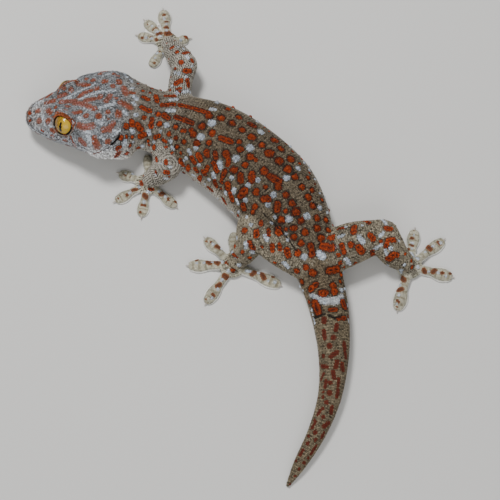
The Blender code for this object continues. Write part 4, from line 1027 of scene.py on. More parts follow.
def scaleTemplate(sides=6, rings=1, power=1.0):
    # Points and faces of a low dome of width 1 and height 1 on a flat closed base
    bm = bmesh.new()
    bmesh.ops.create_uvsphere(bm, u_segments=sides, v_segments=2 * rings + 2, radius=1.0)
    cut = bmesh.ops.bisect_plane(bm, geom=bm.verts[:] + bm.edges[:] + bm.faces[:], dist=1e-5,
                                 plane_co=(0, 0, 0), plane_no=(0, 0, 1), clear_inner=True)
    rim = [edge for edge in cut["geom_cut"] if isinstance(edge, bmesh.types.BMEdge)]
    bmesh.ops.holes_fill(bm, edges=rim, sides=0)
    bmesh.ops.recalc_face_normals(bm, faces=bm.faces[:])
    bmesh.ops.triangulate(bm, faces=bm.faces[:])
    bm.verts.index_update()
    points = vertPlaces(bm)
    faces = np.array([[vert.index for vert in face.verts] for face in bm.faces])
    bm.free()
    points[:, :2] *= 0.5
    points[:, 2] = np.maximum(points[:, 2], 0) ** power
    return points, faces


bigTemplate = 20   # a template with more points takes its spots point by point


class Coat:
    # Places of scales gathered for one piece, and one mesh of their copies of a template
    def __init__(self, name):
        self.name = name
        self.rows = []

    def add(self, template, roots, normals, lies, sizes, found, vary, colours=None):
        self.rows.append((template, roots, normals, lies, sizes, found, vary, colours))

    def build(self):
        coords, faces, layers, uvs, tips, start = [], [], [], [], [], 0
        for (points, triangles), roots, normals, lies, sizes, found, vary, colours in self.rows:
            side = unit(np.cross(normals, lies))
            ahead = np.cross(side, normals)
            frames = np.stack([side, ahead, normals], 1)
            local = points[None] * sizes[:, None, :]
            placed = roots[:, None, :] + np.einsum("nki,nij->nkj", local, frames)
            placed[..., 2] = np.maximum(placed[..., 2], 0.0)
            coords.append(placed.reshape(-1, 3))
            count = len(points)
            starts = start + np.arange(len(roots)) * count
            faces.append((triangles[None] + starts[:, None, None]).reshape(-1, 3))
            start += len(roots) * count
            columns = (found[:, 0] + found[:, 2] * 0.9) / len(parts)
            middle = np.stack([columns, found[:, 1] * 0.99], 1)
            uvs.append((middle[:, None] + points[None, :, :2] * 0.003).reshape(-1, 2))
            dark = dice.uniform(0.0, gapShade["tip"], len(roots)) * (count > bigTemplate and colours is None)
            tips.append(1 - (dark[:, None] * points[:, 2] ** 6).ravel())
            layers.append((found, roots, np.repeat(vary, count), count, colours, placed.reshape(-1, 3)))
        coords, faces, uvs, tips = (np.concatenate(rows) for rows in (coords, faces, uvs, tips))
        mesh = bpy.data.meshes.new(self.name)
        mesh.vertices.add(len(coords))
        mesh.vertices.foreach_set("co", (coords * mm).astype(np.float32).ravel())
        mesh.loops.add(faces.size)
        mesh.loops.foreach_set("vertex_index", faces.astype(np.int32).ravel())
        mesh.polygons.add(len(faces))
        mesh.polygons.foreach_set("loop_start", np.arange(0, faces.size, 3, dtype=np.int32))
        mesh.update(calc_edges=True)
        bakeLayer = mesh.uv_layers.new(name="OFBake")
        bakeLayer.data.foreach_set("uv", uvs[faces.ravel()].astype(np.float32).ravel())
        values = {"ground": [], "vary": [], **{kind: [] for kind in kinds}}
        for found, roots, vary, count, colours, spread in layers:
            tint = groundColour(found, roots) if colours is None else colours
            values["ground"].append(np.repeat(tint, count, 0))
            values["vary"].append(vary)
            own = count > bigTemplate
            for kind, value in markValues(spread if own else roots).items():
                if colours is not None:
                    value[:] = farOff
                values[kind].append(np.repeat(np.clip(value, farOff, 1), 1 if own else count))
        for key, rows in values.items():
            setValues(mesh, key, np.concatenate(rows))
        setValues(mesh, "gap", tips)
        mesh.shade_smooth()
        thing = bpy.data.objects.new(self.name, mesh)
        bpy.context.scene.collection.objects.link(thing)
        print(self.name, len(faces), "triangles")
        return thing


# Granular scales: spacing along and round the part, width, height, in millimetres
scales = {
    "head": (0.72, 0.70, 0.82, 0.22), "snout": (0.92, 0.94, 1.06, 0.20), "trunk": (0.70, 0.60, 0.74, 0.22),
    "belly": (1.25, 1.30, 1.40, 0.20), "tail": (0.66, 0.60, 0.72, 0.17), "leg": (0.80, 0.70, 0.86, 0.22),
    "arm": (0.58, 0.50, 0.60, 0.17), "palm": (0.70, 0.66, 0.78, 0.20), "toe": (0.62, 0.56, 0.66, 0.15),
}
# How much the scales differ: shade, shade of every second row, size; how they lie and where they stop;
# legLong and round turn their jitter from millimetres to a share of a part's length and girth
scaleLook = {"shade": 0.18, "toeShade": 0.08, "stripe": 0.09, "armStripe": 0.38, "uneven": 0.12,
             "rearLift": 7, "jitter": 0.06, "headJitter": 0.8, "away": 0.55, "wider": 1.22, "longer": 1.12,
             "toeEdge": (0.35, 0.62), "ring": 6.5, "ringStep": 1.4, "ringShade": 0.24, "legLong": 40,
             "round": 90}


def spacingAt(kind, s, turn, name):
    # Row of sizes for a place on a part: along, round, width, height
    sizes = {part: np.array(value) for part, value in scales.items()}
    if kind != "body":
        limb = "arm" if name.startswith("front") else "leg"
        return np.broadcast_to(sizes[limb if kind in ("upper", "lower") else kind], (len(turn), 4))
    high = np.sin(turn * math.tau - math.pi / 2)
    upper = sizes["snout"] + (sizes["head"] - sizes["snout"]) * ease(s, 4, 16)
    upper = upper + (sizes["trunk"] - upper) * ease(s, 40, 54)
    upper = upper + (sizes["tail"] - upper) * ease(s, 160, 168)
    belly = sizes["belly"] if s > 46 else sizes["head"]
    share = ease(high, -0.80, -0.60)[:, None]
    return belly + (upper - belly) * share


def scalePlaces(number):
    # Rows of scales over one part, evenly spaced along and round it
    name, kind, place = parts[number]
    length = bodyLength if kind == "body" else 1
    share = np.linspace(0, 1, 1200 if kind == "body" else 300)
    angles = np.radians([0, 60, 120, 180])
    lines = place(*np.meshgrid(share, angles, indexing="ij"))
    run = np.concatenate([[0], np.cumsum(lengths(np.diff(lines, axis=0)).max(1))])
    sweep = np.linspace(0, 1, 161)
    middles = (sweep[1:] + sweep[:-1]) / 2
    found, at, row = [], 0.0, 0
    while at < run[-1]:
        v = np.interp(at, run, share)
        ring = place(np.full(161, v), sweep * math.tau - math.pi / 2)
        widths = spacingAt(kind, v * length, middles, name)
        strides = lengths(np.diff(ring, axis=0)) / widths[:, 1]
        count = np.concatenate([[0], np.cumsum(strides)])
        total = int(count[-1])
        if total > 2:
            stands = (np.arange(total) + 0.5 * (row % 2)) * count[-1] / total
            turn = np.interp(stands, count, sweep)
            lane = np.full(total, row) if kind == "body" else np.arange(total)
            found.append(np.stack([np.full(total, number), np.full(total, v), turn, lane], 1))
        at += widths[len(widths) // 2, 0]
        row += 1
    return np.concatenate(found)


# Places without granular scales: distance from the lip plates, mouth, ears, folds, nostrils and eyes
bareReach = {"plates": 1.25, "mouth": 0.4, "ear": 0.75, "fold": 0.22, "nostril": 0.744, "eye": 1.10}


def isBare(points):
    bare = np.zeros(len(points), bool)
    head = points[:, 0] < headBehind["bare"]
    some = points[head]
    lost = np.zeros(len(some), bool)
    for key in ("plates", "mouth", "ear", "fold"):
        lost |= nearAny(some, paths[key], bareReach[key])
    for sign in (1, -1):
        share, *_ = eyeShare(some, sign)
        lost |= share < bareReach["eye"]
        lost |= lengths(some - sidePoint(sign, *nostril["place"])) < bareReach["nostril"]
    bare[head] |= lost
    return bare


def onSkin(points):
    # Nearest places on the skin with its slope there, and how far off they were
    near = [skinTree.find_nearest(Vector(point)) for point in points]
    return tuple(np.array([hit[i] for hit in near]) for i in (0, 1, 3))


def smoothNormals(points):
    # Mean slope of the skin round each place
    near = [skinTree.find_nearest_range(Vector(point), 0.9) for point in points]
    return unit(np.array([sum((hit[1] for hit in hits), Vector()) if hits else (0, 0, 1) for hits in near]))


def flatOn(ways, normals):
    # The part of each way that lies along the skin
    return unit(ways - normals * (ways * normals).sum(1, keepdims=True))


def rearward(normals, side=0.0):
    # Towards the tail along the skin, turned a little to the side
    return unit(np.cross(normals, np.cross([1.0, side, 0], normals)))


dome = scaleTemplate()
joints = seen(skinTree, [(170, 163), (266, 211)])   # pixels of the left elbow and knee


def growScales(coat, number, found):
    name, kind, place = parts[number]
    loose = scaleLook["jitter"]
    if kind == "body":   # less even rows on the head
        loose = loose * (1 + scaleLook["headJitter"] * (found[:, 1] * bodyLength < coatEnds["head"]))
    long = bodyLength if kind == "body" else scaleLook["legLong"]
    found[:, 1] += dice.normal(0, 1, len(found)) * loose / long
    found[:, 2] += dice.normal(0, 1, len(found)) * loose / scaleLook["round"]
    angle = found[:, 2] * math.tau - math.pi / 2
    points = place(found[:, 1], angle)
    roots, _, gaps = onSkin(points)
    keep = (gaps < scaleLook["away"]) & ~isBare(roots)
    if kind == "toe":   # the rims of the pads stay bare
        root, pad = scaleLook["toeEdge"]
        keep &= np.sin(angle) > np.where(found[:, 1] > 0.5, pad, root)
    found, roots, angle = found[keep], roots[keep], angle[keep]
    if not len(found):
        return
    ahead, behind = (place(np.clip(found[:, 1] + step, 0, 1), angle) for step in (-0.004, 0.004))
    normals = smoothNormals(roots)
    lies = flatOn(behind - ahead, normals)
    length = bodyLength if kind == "body" else 1
    sizes = np.array([spacingAt(kind, v * length, np.array([turn]), name)[0] for v, turn in found[:, 1:3]])
    uneven = 1 + dice.normal(0, scaleLook["uneven"], len(found))[:, None]
    size = np.stack([sizes[:, 1] * scaleLook["wider"], sizes[:, 0] * scaleLook["longer"], sizes[:, 3]], 1)
    size = size * uneven
    tip = math.sin(math.radians(scaleLook["rearLift"]))
    normals = unit(normals - lies * tip)
    strong = scaleLook["armStripe"] if name.startswith("front") else scaleLook["stripe"]
    stripe = np.where(found[:, 3] % 2 == 0, strong, -strong) * (kind != "toe")
    # Pale and dark rings round the elbow and knee: the painted light and shade of fine wrinkles
    for joint in joints if kind in ("upper", "lower") else []:   # fine lines round the elbow and knee
        away = lengths(roots - joint)
        pale = away % scaleLook["ringStep"] < scaleLook["ringStep"] / 2
        ring = np.where(pale, scaleLook["ringShade"], -scaleLook["ringShade"])
        ring = ring * ease(away, scaleLook["ring"], scaleLook["ring"] - 2)
        stripe = np.where(away < scaleLook["ring"], ring, stripe)
    if kind == "body":
        stripe = stripe * ease(found[:, 1] * bodyLength, 44, 60)
    loose = scaleLook["toeShade" if kind == "toe" else "shade"]
    vary = np.clip(0.5 + stripe + dice.normal(0, loose, len(found)), 0, 1)
    coat.add(dome, roots, normals, lies, size, found[:, :3], vary)


# Scales on the bulge round an eye: spacing, width and height, and where the rings start and end
lidScales = {"step": 0.74, "width": 0.9, "height": 0.22, "start": 0.86, "end": 125, "clear": 1.12,
             "away": 0.43, "near": 0.9, "shade": 0.2}


def growLidScales(coat, sign):
    # Rings of scales where the rows round the head don't reach
    centre, along, up, look = eyeAxes(sign)
    size = eyes["radius"] + eyes["orbit"]
    step = lidScales["step"]
    polars = np.arange(math.asin(lidScales["start"]), math.radians(lidScales["end"]), step / size)
    for row, polar in enumerate(polars):
        count = int(math.tau * size * math.sin(polar) / step)
        turn = (np.arange(count) + 0.5 * (row % 2)) * math.tau / count
        out = along * np.cos(turn)[:, None] + up * np.sin(turn)[:, None]
        roots, _, gaps = onSkin(centre + (look * math.cos(polar) + out * math.sin(polar)) * size)
        own = np.array([partTree[0].find_nearest(Vector(root))[3] for root in roots])
        share, *_ = eyeShare(roots, sign)
        keep = (gaps < lidScales["near"]) & (own > lidScales["away"]) & (share > lidScales["clear"])
        if keep.any():
            roots = roots[keep]
            normals = smoothNormals(roots)
            sizes = np.array([[lidScales["width"], lidScales["width"], lidScales["height"]]])
            sizes = sizes * (1 + dice.normal(0, scaleLook["uneven"], len(roots))[:, None])
            vary = np.clip(0.5 + dice.normal(0, lidScales["shade"], len(roots)), 0, 1)
            coat.add(dome, roots, normals, rearward(normals), sizes, nearestPart(roots), vary)


coats = []
# Where each piece of the body's scales ends, in millimetres from the snout
coatEnds = {"head": 46, "neck": 70, "shoulders": 88, "back": 104, "loins": 124, "hips": 156, "tail": 246.5}
bodyRows = scalePlaces(0)
at = bodyRows[:, 1] * bodyLength
for label, low, high in zip(coatEnds, [0, *coatEnds.values()], coatEnds.values()):
    coat = Coat(label + "Scales")
    growScales(coat, 0, bodyRows[(at >= low) & (at < high)])
    if label == "head":
        growLidScales(coat, 1)
        growLidScales(coat, -1)
    coats.append(coat)
for i, leg in enumerate(legs):
    coat = Coat(leg + "Scales")
    for number, owner in enumerate(partLeg):
        if owner == i:
            growScales(coat, number, scalePlaces(number))
    coats.append(coat)
print("scales placed")

# Tubercles: raised cones at the spots' middles and between them, width and height in millimetres;
# the radius of a spot whose cone has full size, and how much smaller one is on a leg and low down
tubercles = {"rust": (1.4, 0.72), "white": (1.35, 0.92), "small": (1.05, 0.48), "power": 0.8,
             "fullRadius": {"rust": 1.35, "white": 1.1}, "sizes": (0.45, 1.15), "trunk": (44, 165),
             "onLeg": 0.75, "lowDown": 0.75, "lowBelow": 2.6, "shade": 0.62}
cone = scaleTemplate(12, 3, tubercles["power"])


def growTubercles(coat):
    for kind in ("rust", "white"):
        chosen = rods[rods[:, 0] == kinds.index(kind)]
        roots, _, _ = onSkin((chosen[:, 1:4] + chosen[:, 4:7]) / 2)
        normals = smoothNormals(roots)
        found = nearestPart(roots)
        s = found[:, 1] * bodyLength
        start, end = tubercles["trunk"]
        keep = (found[:, 0] > 0) | ((s > start) & (s < end))
        width, height = tubercles[kind]
        share = np.clip(chosen[:, 7] / tubercles["fullRadius"][kind], *tubercles["sizes"])[:, None]
        small = np.where(found[:, 0] > 0, tubercles["onLeg"], 1.0)[:, None]
        small = small * np.where(roots[:, 2] < tubercles["lowBelow"], tubercles["lowDown"], 1.0)[:, None]
        size = np.array([[width, width, height]]) * share * small
        lies = rearward(normals, -0.6)
        vary = np.full(len(roots), tubercles["shade"])
        coat.add(cone, roots[keep], normals[keep], lies[keep], size[keep], found[keep], vary[keep])


# Smaller ones: rows from and to in millimetres from the snout, their steps, how far down the sides in
# radians, distance from other spots and from the eyes
smallOnes = {"rows": (29.0, 66.0, 3.1), "step": 3.3, "sides": (-0.35, math.pi + 0.35), "shift": 0.05,
             "legRows": (0.2, 0.8, 6), "legTurns": (0.3, 0.75, 5), "loose": (0.03, 0.4, 0.03),
             "away": 0.5, "clear": 1.4, "fromEye": 2.0, "sizes": (0.75, 1.1), "shade": 0.75}


def growSmallTubercles(coat):
    # Staggered rows over the nape, the temples and the legs
    places = []
    looseTurn, looseRow, looseLeg = smallOnes["loose"]
    for s in np.arange(*smallOnes["rows"]):
        ring = bodyPoint(s, np.linspace(*smallOnes["sides"], 60))
        count = int(lengths(np.diff(ring, axis=0)).sum() / smallOnes["step"])
        angle = np.linspace(*smallOnes["sides"], count) + smallOnes["shift"] * (round(s) % 2)
        angle = angle + dice.normal(0, looseTurn, count)
        places.append(bodyPoint(s + dice.normal(0, looseRow, count), angle))
    for _, kind, place in parts:
        if kind in ("upper", "lower"):
            v, turn = np.meshgrid(np.linspace(*smallOnes["legRows"]), np.linspace(*smallOnes["legTurns"]))
            v = v.ravel() + dice.normal(0, looseLeg, v.size)
            places.append(place(v, (turn.ravel() - 0.25) * math.tau))
    roots, _, gaps = onSkin(np.concatenate(places))
    keep = (gaps < smallOnes["away"]) & ~isBare(roots)
    gaps = np.array([lengths(rods[:, 1:4] - root).min() for root in roots])
    keep &= gaps > smallOnes["clear"]
    for sign in (1, -1):
        keep &= eyeShare(roots, sign)[0] > smallOnes["fromEye"]
    roots = roots[keep]
    normals = smoothNormals(roots)
    lies = rearward(normals, -0.4)
    width, height = tubercles["small"]
    size = np.array([[width, width, height]]) * dice.uniform(*smallOnes["sizes"], len(roots))[:, None]
    coat.add(cone, roots, normals, lies, size, nearestPart(roots), np.full(len(roots), smallOnes["shade"]))


coat = Coat("tubercles")
growTubercles(coat)
growSmallTubercles(coat)
coats.append(coat)
print("tubercles placed")

# Plates along the lips: how many in all, height, thickness, distance from the mouth's line; they get
# smaller towards the corners, and some have a rust tint
plates = {"upper": (27, 1.25, 0.42, 0.92), "lower": (23, 1.15, 0.36, -0.92), "atCorner": 0.62,
          "shade": (186, 190, 194), "rust": (138, 84, 62), "rustShare": 0.30}
tile = scaleTemplate(12, 2, 0.45)


def growPlates(coat):
    path = mouthPath()
    run = runAlong(path)

    def along(at):
        return np.stack([np.interp(at, run, path[:, i]) for i in range(3)], 1)

    for row in ("upper", "lower"):
        count, height, thick, off = plates[row]
        at = (np.arange(count) + 0.5) / count * run[-1]
        middle = along(at)
        normals = smoothNormals(middle)
        ahead = flatOn(along(at + 0.3) - along(at - 0.3), normals)
        up = np.cross(normals, ahead)
        up *= np.sign(up[:, 2:3])
        roots, _, _ = onSkin(middle + up * off)
        normals = smoothNormals(roots)
        size = np.tile([[run[-1] / count, height, thick]], (len(roots), 1))
        shrink = np.sin(np.pi * np.clip(at / run[-1], 0.06, 0.94))
        size[:, 1:] *= (plates["atCorner"] + (1 - plates["atCorner"]) * shrink)[:, None]
        lies = unit(np.cross(ahead, normals))
        tint = np.tile(linear(*plates["shade"]), (len(roots), 1))
        rusty = dice.random(len(roots)) < plates["rustShare"]
        tint[rusty] = linear(*plates["rust"]) * 0.5 + tint[rusty] * 0.5
        coat.add(tile, roots, normals, lies, size, nearestPart(roots), np.full(len(roots), 0.5), tint)


# Fringe of small scales on the lids: count, width, height, how far out on the rim, colours
fringe = {"count": 38, "width": 0.95, "height": 0.4, "rim": (1.09, 1.22), "outside": 0.6,
          "upper": (158, 82, 44), "lower": (150, 140, 130)}


def growFringe(coat):
    for sign, rim in ((sign, rim) for sign in (1, -1) for rim in fringe["rim"]):
        centre, along, up, look = eyeAxes(sign)
        turn = np.linspace(0, math.tau, fringe["count"], endpoint=False) + rim
        out = (along * (eyes["opening"][0] * rim * np.cos(turn))[:, None]
               + up * (eyes["opening"][1] * rim * np.sin(turn))[:, None])
        flat = lengths(out)
        depth = np.sqrt(np.maximum((eyes["radius"] + fringe["outside"]) ** 2 - flat**2, 0))
        roots, _, _ = onSkin(centre + out + look * depth[:, None])
        normals = smoothNormals(roots)
        lies = flatOn(out, normals)
        high = ease(np.sin(turn), -0.1, 0.4)[:, None]
        size = np.tile([[fringe["width"], fringe["width"] * 0.9, fringe["height"]]], (len(roots), 1))
        size = size * (0.75 + 0.25 * high)
        tint = linear(*fringe["lower"]) * (1 - high) + linear(*fringe["upper"]) * high
        vary = dice.uniform(0.3, 0.7, len(roots))
        coat.add(dome, roots, normals, lies, size, nearestPart(roots), vary, tint)


coat = Coat("facePlates")
growPlates(coat)
growFringe(coat)
coats.append(coat)
coatObjects = [coat.build() for coat in coats]
print("coat built")


# Shader sums: a small class wraps a node's output
class Value:
    def __init__(self, maker, socket):
        self.maker = maker
        self.socket = socket

    def maths(self, kind, other=0.0):
        return self.maker.node("ShaderNodeMath", {"operation": kind}, [self, other])

    def __add__(self, other):
        return self.maths("ADD", other)

    def __mul__(self, other):
        return self.maths("MULTIPLY", other)

    def __sub__(self, other):
        return self.maths("SUBTRACT", other)

    def __truediv__(self, other):
        return self.maths("DIVIDE", other)

    def __rsub__(self, other):
        return (self * -1.0) + other

    __radd__ = __add__
    __rmul__ = __mul__

    def ease(self, low, high):
        return self.maker.node("ShaderNodeMapRange", {"interpolation_type": "SMOOTHSTEP"},
                               {"Value": self, "From Min": low, "From Max": high})


class Maker:
    def __init__(self, name):
        self.material = bpy.data.materials.new(name)
        self.material.use_nodes = True
        self.tree = self.material.node_tree
        self.shader = self.tree.nodes["Principled BSDF"]

    def feed(self, socket, value):
        if isinstance(value, Value):
            self.tree.links.new(value.socket, socket)
        else:
            socket.default_value = value

    def node(self, kind, settings=None, inputs=None, output=0):
        made = self.tree.nodes.new(kind)
        for key, value in (settings or {}).items():
            if key == "stops":
                ramp = made.color_ramp
                for place, colour in value[2:]:
                    ramp.elements.new(place)
                for element, (place, colour) in zip(ramp.elements, sorted(value)):
                    element.position, element.color = place, colour
            else:
                setattr(made, key, value)
        pairs = inputs.items() if isinstance(inputs, dict) else enumerate(inputs or [])
        for key, value in pairs:
            self.feed(made.inputs[key], value)
        return Value(self, made.outputs[output])

    def layer(self, name, colour=False):
        # An attribute of the mesh, as a number or as a colour
        return self.node("ShaderNodeAttribute", {"attribute_name": name}, output=0 if colour else 2)

    def ramp(self, value, stops):
        rows = [(place, (*linear(*colour), 1)) for place, colour in stops]
        return self.node("ShaderNodeValToRGB", {"stops": rows}, [value])

    def mix(self, share, a, b, kind="MIX"):
        return self.node("ShaderNodeMix", {"data_type": "RGBA", "blend_type": kind},
                         {0: share, 6: a, 7: b}, output=2)

    def darken(self, colour, value):
        # A colour times a number, by a grey
        grey = self.node("ShaderNodeCombineColor", {}, [value, value, value])
        return self.mix(1.0, colour, grey, "MULTIPLY")

    def noise(self, scale, detail=2.0):
        place = self.node("ShaderNodeTexCoord", output=3)   # the Object coordinates
        return self.node("ShaderNodeTexNoise", {}, {"Vector": place, "Scale": scale, "Detail": detail})

    def finish(self, colour, roughness, height=None, depth=0.0, **constants):
        self.feed(self.shader.inputs["Base Color"], colour)
        self.feed(self.shader.inputs["Roughness"], roughness)
        for key, value in constants.items():
            self.shader.inputs[key.replace("_", " ")].default_value = value
        if height is not None:
            bump = self.node("ShaderNodeBump", {}, {"Strength": 0.6, "Distance": depth, "Height": height})
            self.feed(self.shader.inputs["Normal"], bump)
        return self.material


# The colours of the ground's scales and of each kind of spot, as screen values
ramps = {
    "scale": [(0.0, (118, 112, 106)), (0.5, (215, 214, 213)), (1.0, (255, 255, 255))],
    "rust": [(0.0, (26, 16, 10)), (0.10, (48, 21, 9)), (0.28, (104, 37, 9)), (0.5, (150, 58, 16)),
             (0.72, (122, 42, 10)), (0.9, (80, 25, 7)), (1.0, (56, 18, 6))],
    "white": [(0.0, (116, 120, 124)), (0.3, (156, 164, 174)), (1.0, (200, 207, 216))],
    "brick": [(0.0, (116, 80, 62)), (0.35, (130, 67, 40)), (1.0, (134, 54, 28))],
    "paleLine": [(0.0, (166, 174, 184)), (1.0, (212, 219, 228))],
    "toeBar": [(0.0, (126, 88, 58)), (0.5, (112, 58, 28)), (1.0, (76, 36, 18))],
    # Painted shade in creases, slits and openings, and the dark band across the tail
    "dark": [(0.0, (34, 24, 18)), (1.0, (14, 9, 6))],
    "tailSpot": [(0.0, (70, 42, 28)), (0.35, (94, 34, 17)), (1.0, (82, 22, 10))],
}
# Each kind's edge from and to, in the order in which they are laid over each other, and how far its edge
# follows the grain of the scales; rust and brick get their strength from the ground
edges = {
    "paleLine": (0.0, 0.6), "brick": (-0.10, 0.20), "tailSpot": (-0.02, 0.25), "toeBar": (-0.10, 0.25),
    "white": (-0.05, 0.22), "rust": (-0.06, 0.06), "dark": (0.0, 0.4),
}
strength = {"paleLine": 0.54, "tailSpot": 0.95, "toeBar": 0.95, "white": 0.95, "dark": 0.95}
grainy = {"paleLine": 1.0, "brick": 1.0, "white": 0.35}
# Sizes of the noises, as cells in a metre, and how rough, glossy and bumpy the skin is
skinLook = {"fine": 900.0, "streaks": 2200.0, "blob": 420.0, "dull": 170.0, "cloud": 140.0, "bump": 2600.0,
            "bumpDepth": 0.00006, "roughness": (0.62, 0.2), "gloss": 0.22}


def skinMaterial():
    # Colours from the attributes; the skin between the scales is painted darker, as shade in the gaps
    maker = Maker("geckoSkin")
    vary, base = maker.layer("vary"), maker.layer("ground", True)
    fine = maker.noise(skinLook["fine"])
    uneven = (fine - 0.5) * 0.45 + (maker.noise(skinLook["streaks"], 1.0) - 0.5) * 0.4
    grain = (vary - 0.5) * 0.5   # each scale takes more or less of a blotch's colour
    blob = (maker.noise(skinLook["blob"], 1.0) - 0.5) * 0.7
    paleness = maker.node("ShaderNodeRGBToBW", {}, [base])
    dull = maker.noise(skinLook["dull"], 1.0).ease(0.3, 0.7)
    bright = {"rust": (paleness * 3.0).maths("MINIMUM", 0.76) + dull * 0.40 + 0.24,
              "white": paleness * 0.6 + vary * 0.5 + 0.58}
    strong = {"rust": paleness * -0.16 + 1.02,
              "brick": (vary.ease(0.64, 0.8) * -0.5 + 1.0) * (dull * 0.20 + 0.76), **strength}
    rim = (maker.layer("rust") + uneven * 0.6).ease(-0.42, -0.02)   # dark rims, weaker on pale ground
    halo = rim * (paleness * 0.9 - 0.84).maths("MINIMUM", -0.12) + 1.0
    cloud = (maker.noise(skinLook["cloud"], 3.0).ease(0.3, 0.7) * 0.34 + 0.82) * halo
    colour = maker.mix(1.0, base, maker.ramp(vary, ramps["scale"]), "MULTIPLY")
    colour = maker.darken(colour, cloud)
    for kind, (low, high) in edges.items():
        value = maker.layer(kind) + (uneven * 1.5 + blob if kind == "rust" else uneven * 0.5)
        if kind in grainy:
            value = value + grain * grainy[kind]
        tint = maker.ramp(value + paleness * 0.3 if kind == "rust" else value, ramps[kind])
        if kind in bright:
            tint = maker.darken(tint, bright[kind])
        colour = maker.mix(value.ease(low, high) * strong[kind], colour, tint)
    # Random tone from the noise and each scale's shade, times the gap value: painted shade on the skin
    # between the scales, a darker tip on tubercles
    colour = maker.darken(colour, (fine * 0.36 + vary * 0.5 + 0.58) * maker.layer("gap"))
    least, more = skinLook["roughness"]
    return maker.finish(colour, maker.noise(skinLook["blob"]) * more + least,
                        maker.noise(skinLook["bump"], 1.0), skinLook["bumpDepth"],
                        Specular_IOR_Level=skinLook["gloss"])


geckoSkin = skinMaterial()
for thing in [skin] + coatObjects:
    thing.data.materials.append(geckoSkin)
print("materials ready")

# Eyeballs with a gold iris, olive veins and an upright slit
# Colours as screen values; the slit's half length and half width, depth and closeness of its notches, the
# pupil's place beside and above the middle, closeness of the veins round and across the iris, its grain
# as cells in a metre, and from where to where the upper lid shades the left and the right eye
iris = {"slit": (2.5, 0.56), "notch": (0.14, 4.2), "shift": (0.25, 0.3), "rim": 4.7, "veins": (6.0, 0.5),
        "grain": 1400.0, "gold": (190, 155, 38), "dull": (116, 82, 6), "limbus": (38, 26, 12),
        "pupil": (6, 5, 4), "golden": (0.32, 0.62), "rearShade": -0.08,
        "lidShade": {1: (3.0, 4.4), -1: (0.6, 2.6)}, "underLid": 0.85, "gloss": 0.4, "roughness": (0.1, 0.7)}
# The ball is a little smaller than its socket and swells over the iris: height and width of the swelling
ballShape = {"gap": 0.12, "swell": 0.35, "swellWidth": 3.2}
slitUp = unit(np.array([0.2, 0.85, 0.45]))   # the way the left eye's slit stands
behindIris = 9.0   # value of both places on the rear half of a ball, past the iris


def makeEye(sign):
    centre, along, up, look = eyeAxes(sign)
    bm = bmesh.new()
    turn = Matrix((along, up * sign, look)).transposed()
    if turn.determinant() < 0:
        turn = Matrix((along, -up * sign, look)).transposed()
    bmesh.ops.create_uvsphere(bm, u_segments=96, v_segments=64, radius=eyes["radius"] - ballShape["gap"])
    local = vertPlaces(bm)
    away = np.hypot(local[:, 0], local[:, 1])
    bulge = ballShape["swell"] * np.exp(-(away / ballShape["swellWidth"]) ** 2) * (local[:, 2] > 0)
    for vert, extra in zip(bm.verts, bulge):
        vert.co.z += extra
    place = Matrix.Translation(Vector(centre) * mm) @ Matrix.Scale(mm, 4) @ turn.to_4x4()
    bmesh.ops.transform(bm, matrix=place, verts=bm.verts[:])
    ball = newObject("eyeLeft" if sign > 0 else "eyeRight", bm)
    # Places on the iris, measured along the slit and across it
    world = local @ np.array(turn.transposed())
    upright = unit(slitUp - look * (slitUp @ look)) if sign > 0 else unit(up)
    beside = np.cross(look, upright)
    shiftSide, shiftUp = iris["shift"]
    front = world @ look > 0
    setValues(ball.data, "lidShade", 1 - iris["underLid"] * ease(world @ up, *iris["lidShade"][sign]))
    setValues(ball.data, "eyeUp", np.where(front, world @ upright + shiftUp, behindIris))
    setValues(ball.data, "eyeSide", np.where(front, world @ beside + shiftSide * sign, behindIris))
    return ball


def eyeMaterial():
    maker = Maker("eyeball")
    dull, gold, limbus, pupil = ((*linear(*iris[key]), 1) for key in ("dull", "gold", "limbus", "pupil"))
    up, side = maker.layer("eyeUp"), maker.layer("eyeSide")
    reach = (up * up + side * side).maths("SQRT")
    turned, across = iris["veins"]
    fan = maker.node("ShaderNodeCombineXYZ", {}, [side.maths("ARCTAN2", up) * turned, reach * across, 0.0])
    veins = maker.node("ShaderNodeTexNoise", {"noise_dimensions": "2D"},
                       {"Vector": fan, "Scale": 1.6, "Detail": 5.0})
    # The iris is painted darker towards one side: painted shade
    sideShade = side * iris["rearShade"]
    bright = veins * 0.7 + maker.noise(iris["grain"], 4.0) * 0.3 + sideShade
    colour = maker.mix(bright.ease(*iris["golden"]), dull, gold)
    colour = maker.mix(reach.ease(iris["rim"] - 0.5, iris["rim"]), colour, limbus)
    long, wide = iris["slit"]
    taper = (up / long) * (up / long) * -1.0 + 1.0
    opened = taper.maths("MAXIMUM", 0.0)
    depth, close = iris["notch"]
    notch = (up * close).maths("SINE") * depth
    edge = side.maths("ABSOLUTE") - (opened.maths("SQRT") * wide + notch * opened)
    colour = maker.mix(edge.ease(0.06, -0.02) * taper.ease(0.0, 0.1), colour, pupil)
    bare = maker.layer("lidShade")
    least, most = iris["roughness"]   # no gloss under the lid
    maker.feed(maker.shader.inputs["Coat Weight"], bare * iris["gloss"])
    return maker.finish(maker.darken(colour, bare), bare * (least - most) + most,
                        Coat_Roughness=0.03, IOR=1.33)


eyeball = eyeMaterial()
balls = {"eye_left": makeEye(1), "eye_right": makeEye(-1)}
for ball in balls.values():
    ball.data.materials.append(eyeball)
print("eyes ready")

# Claws: length, radius at the root, height of the root, how high they arch and how far the tip drops,
# where they start as a share of the toe's reach
claw = {"length": 2.3, "radius": 0.44, "height": 0.75, "arch": 0.30, "drop": 0.55, "start": 0.90,
        "taper": 0.8, "shade": (150, 142, 132), "sideShade": 1.6, "rings": 8, "sides": 12}


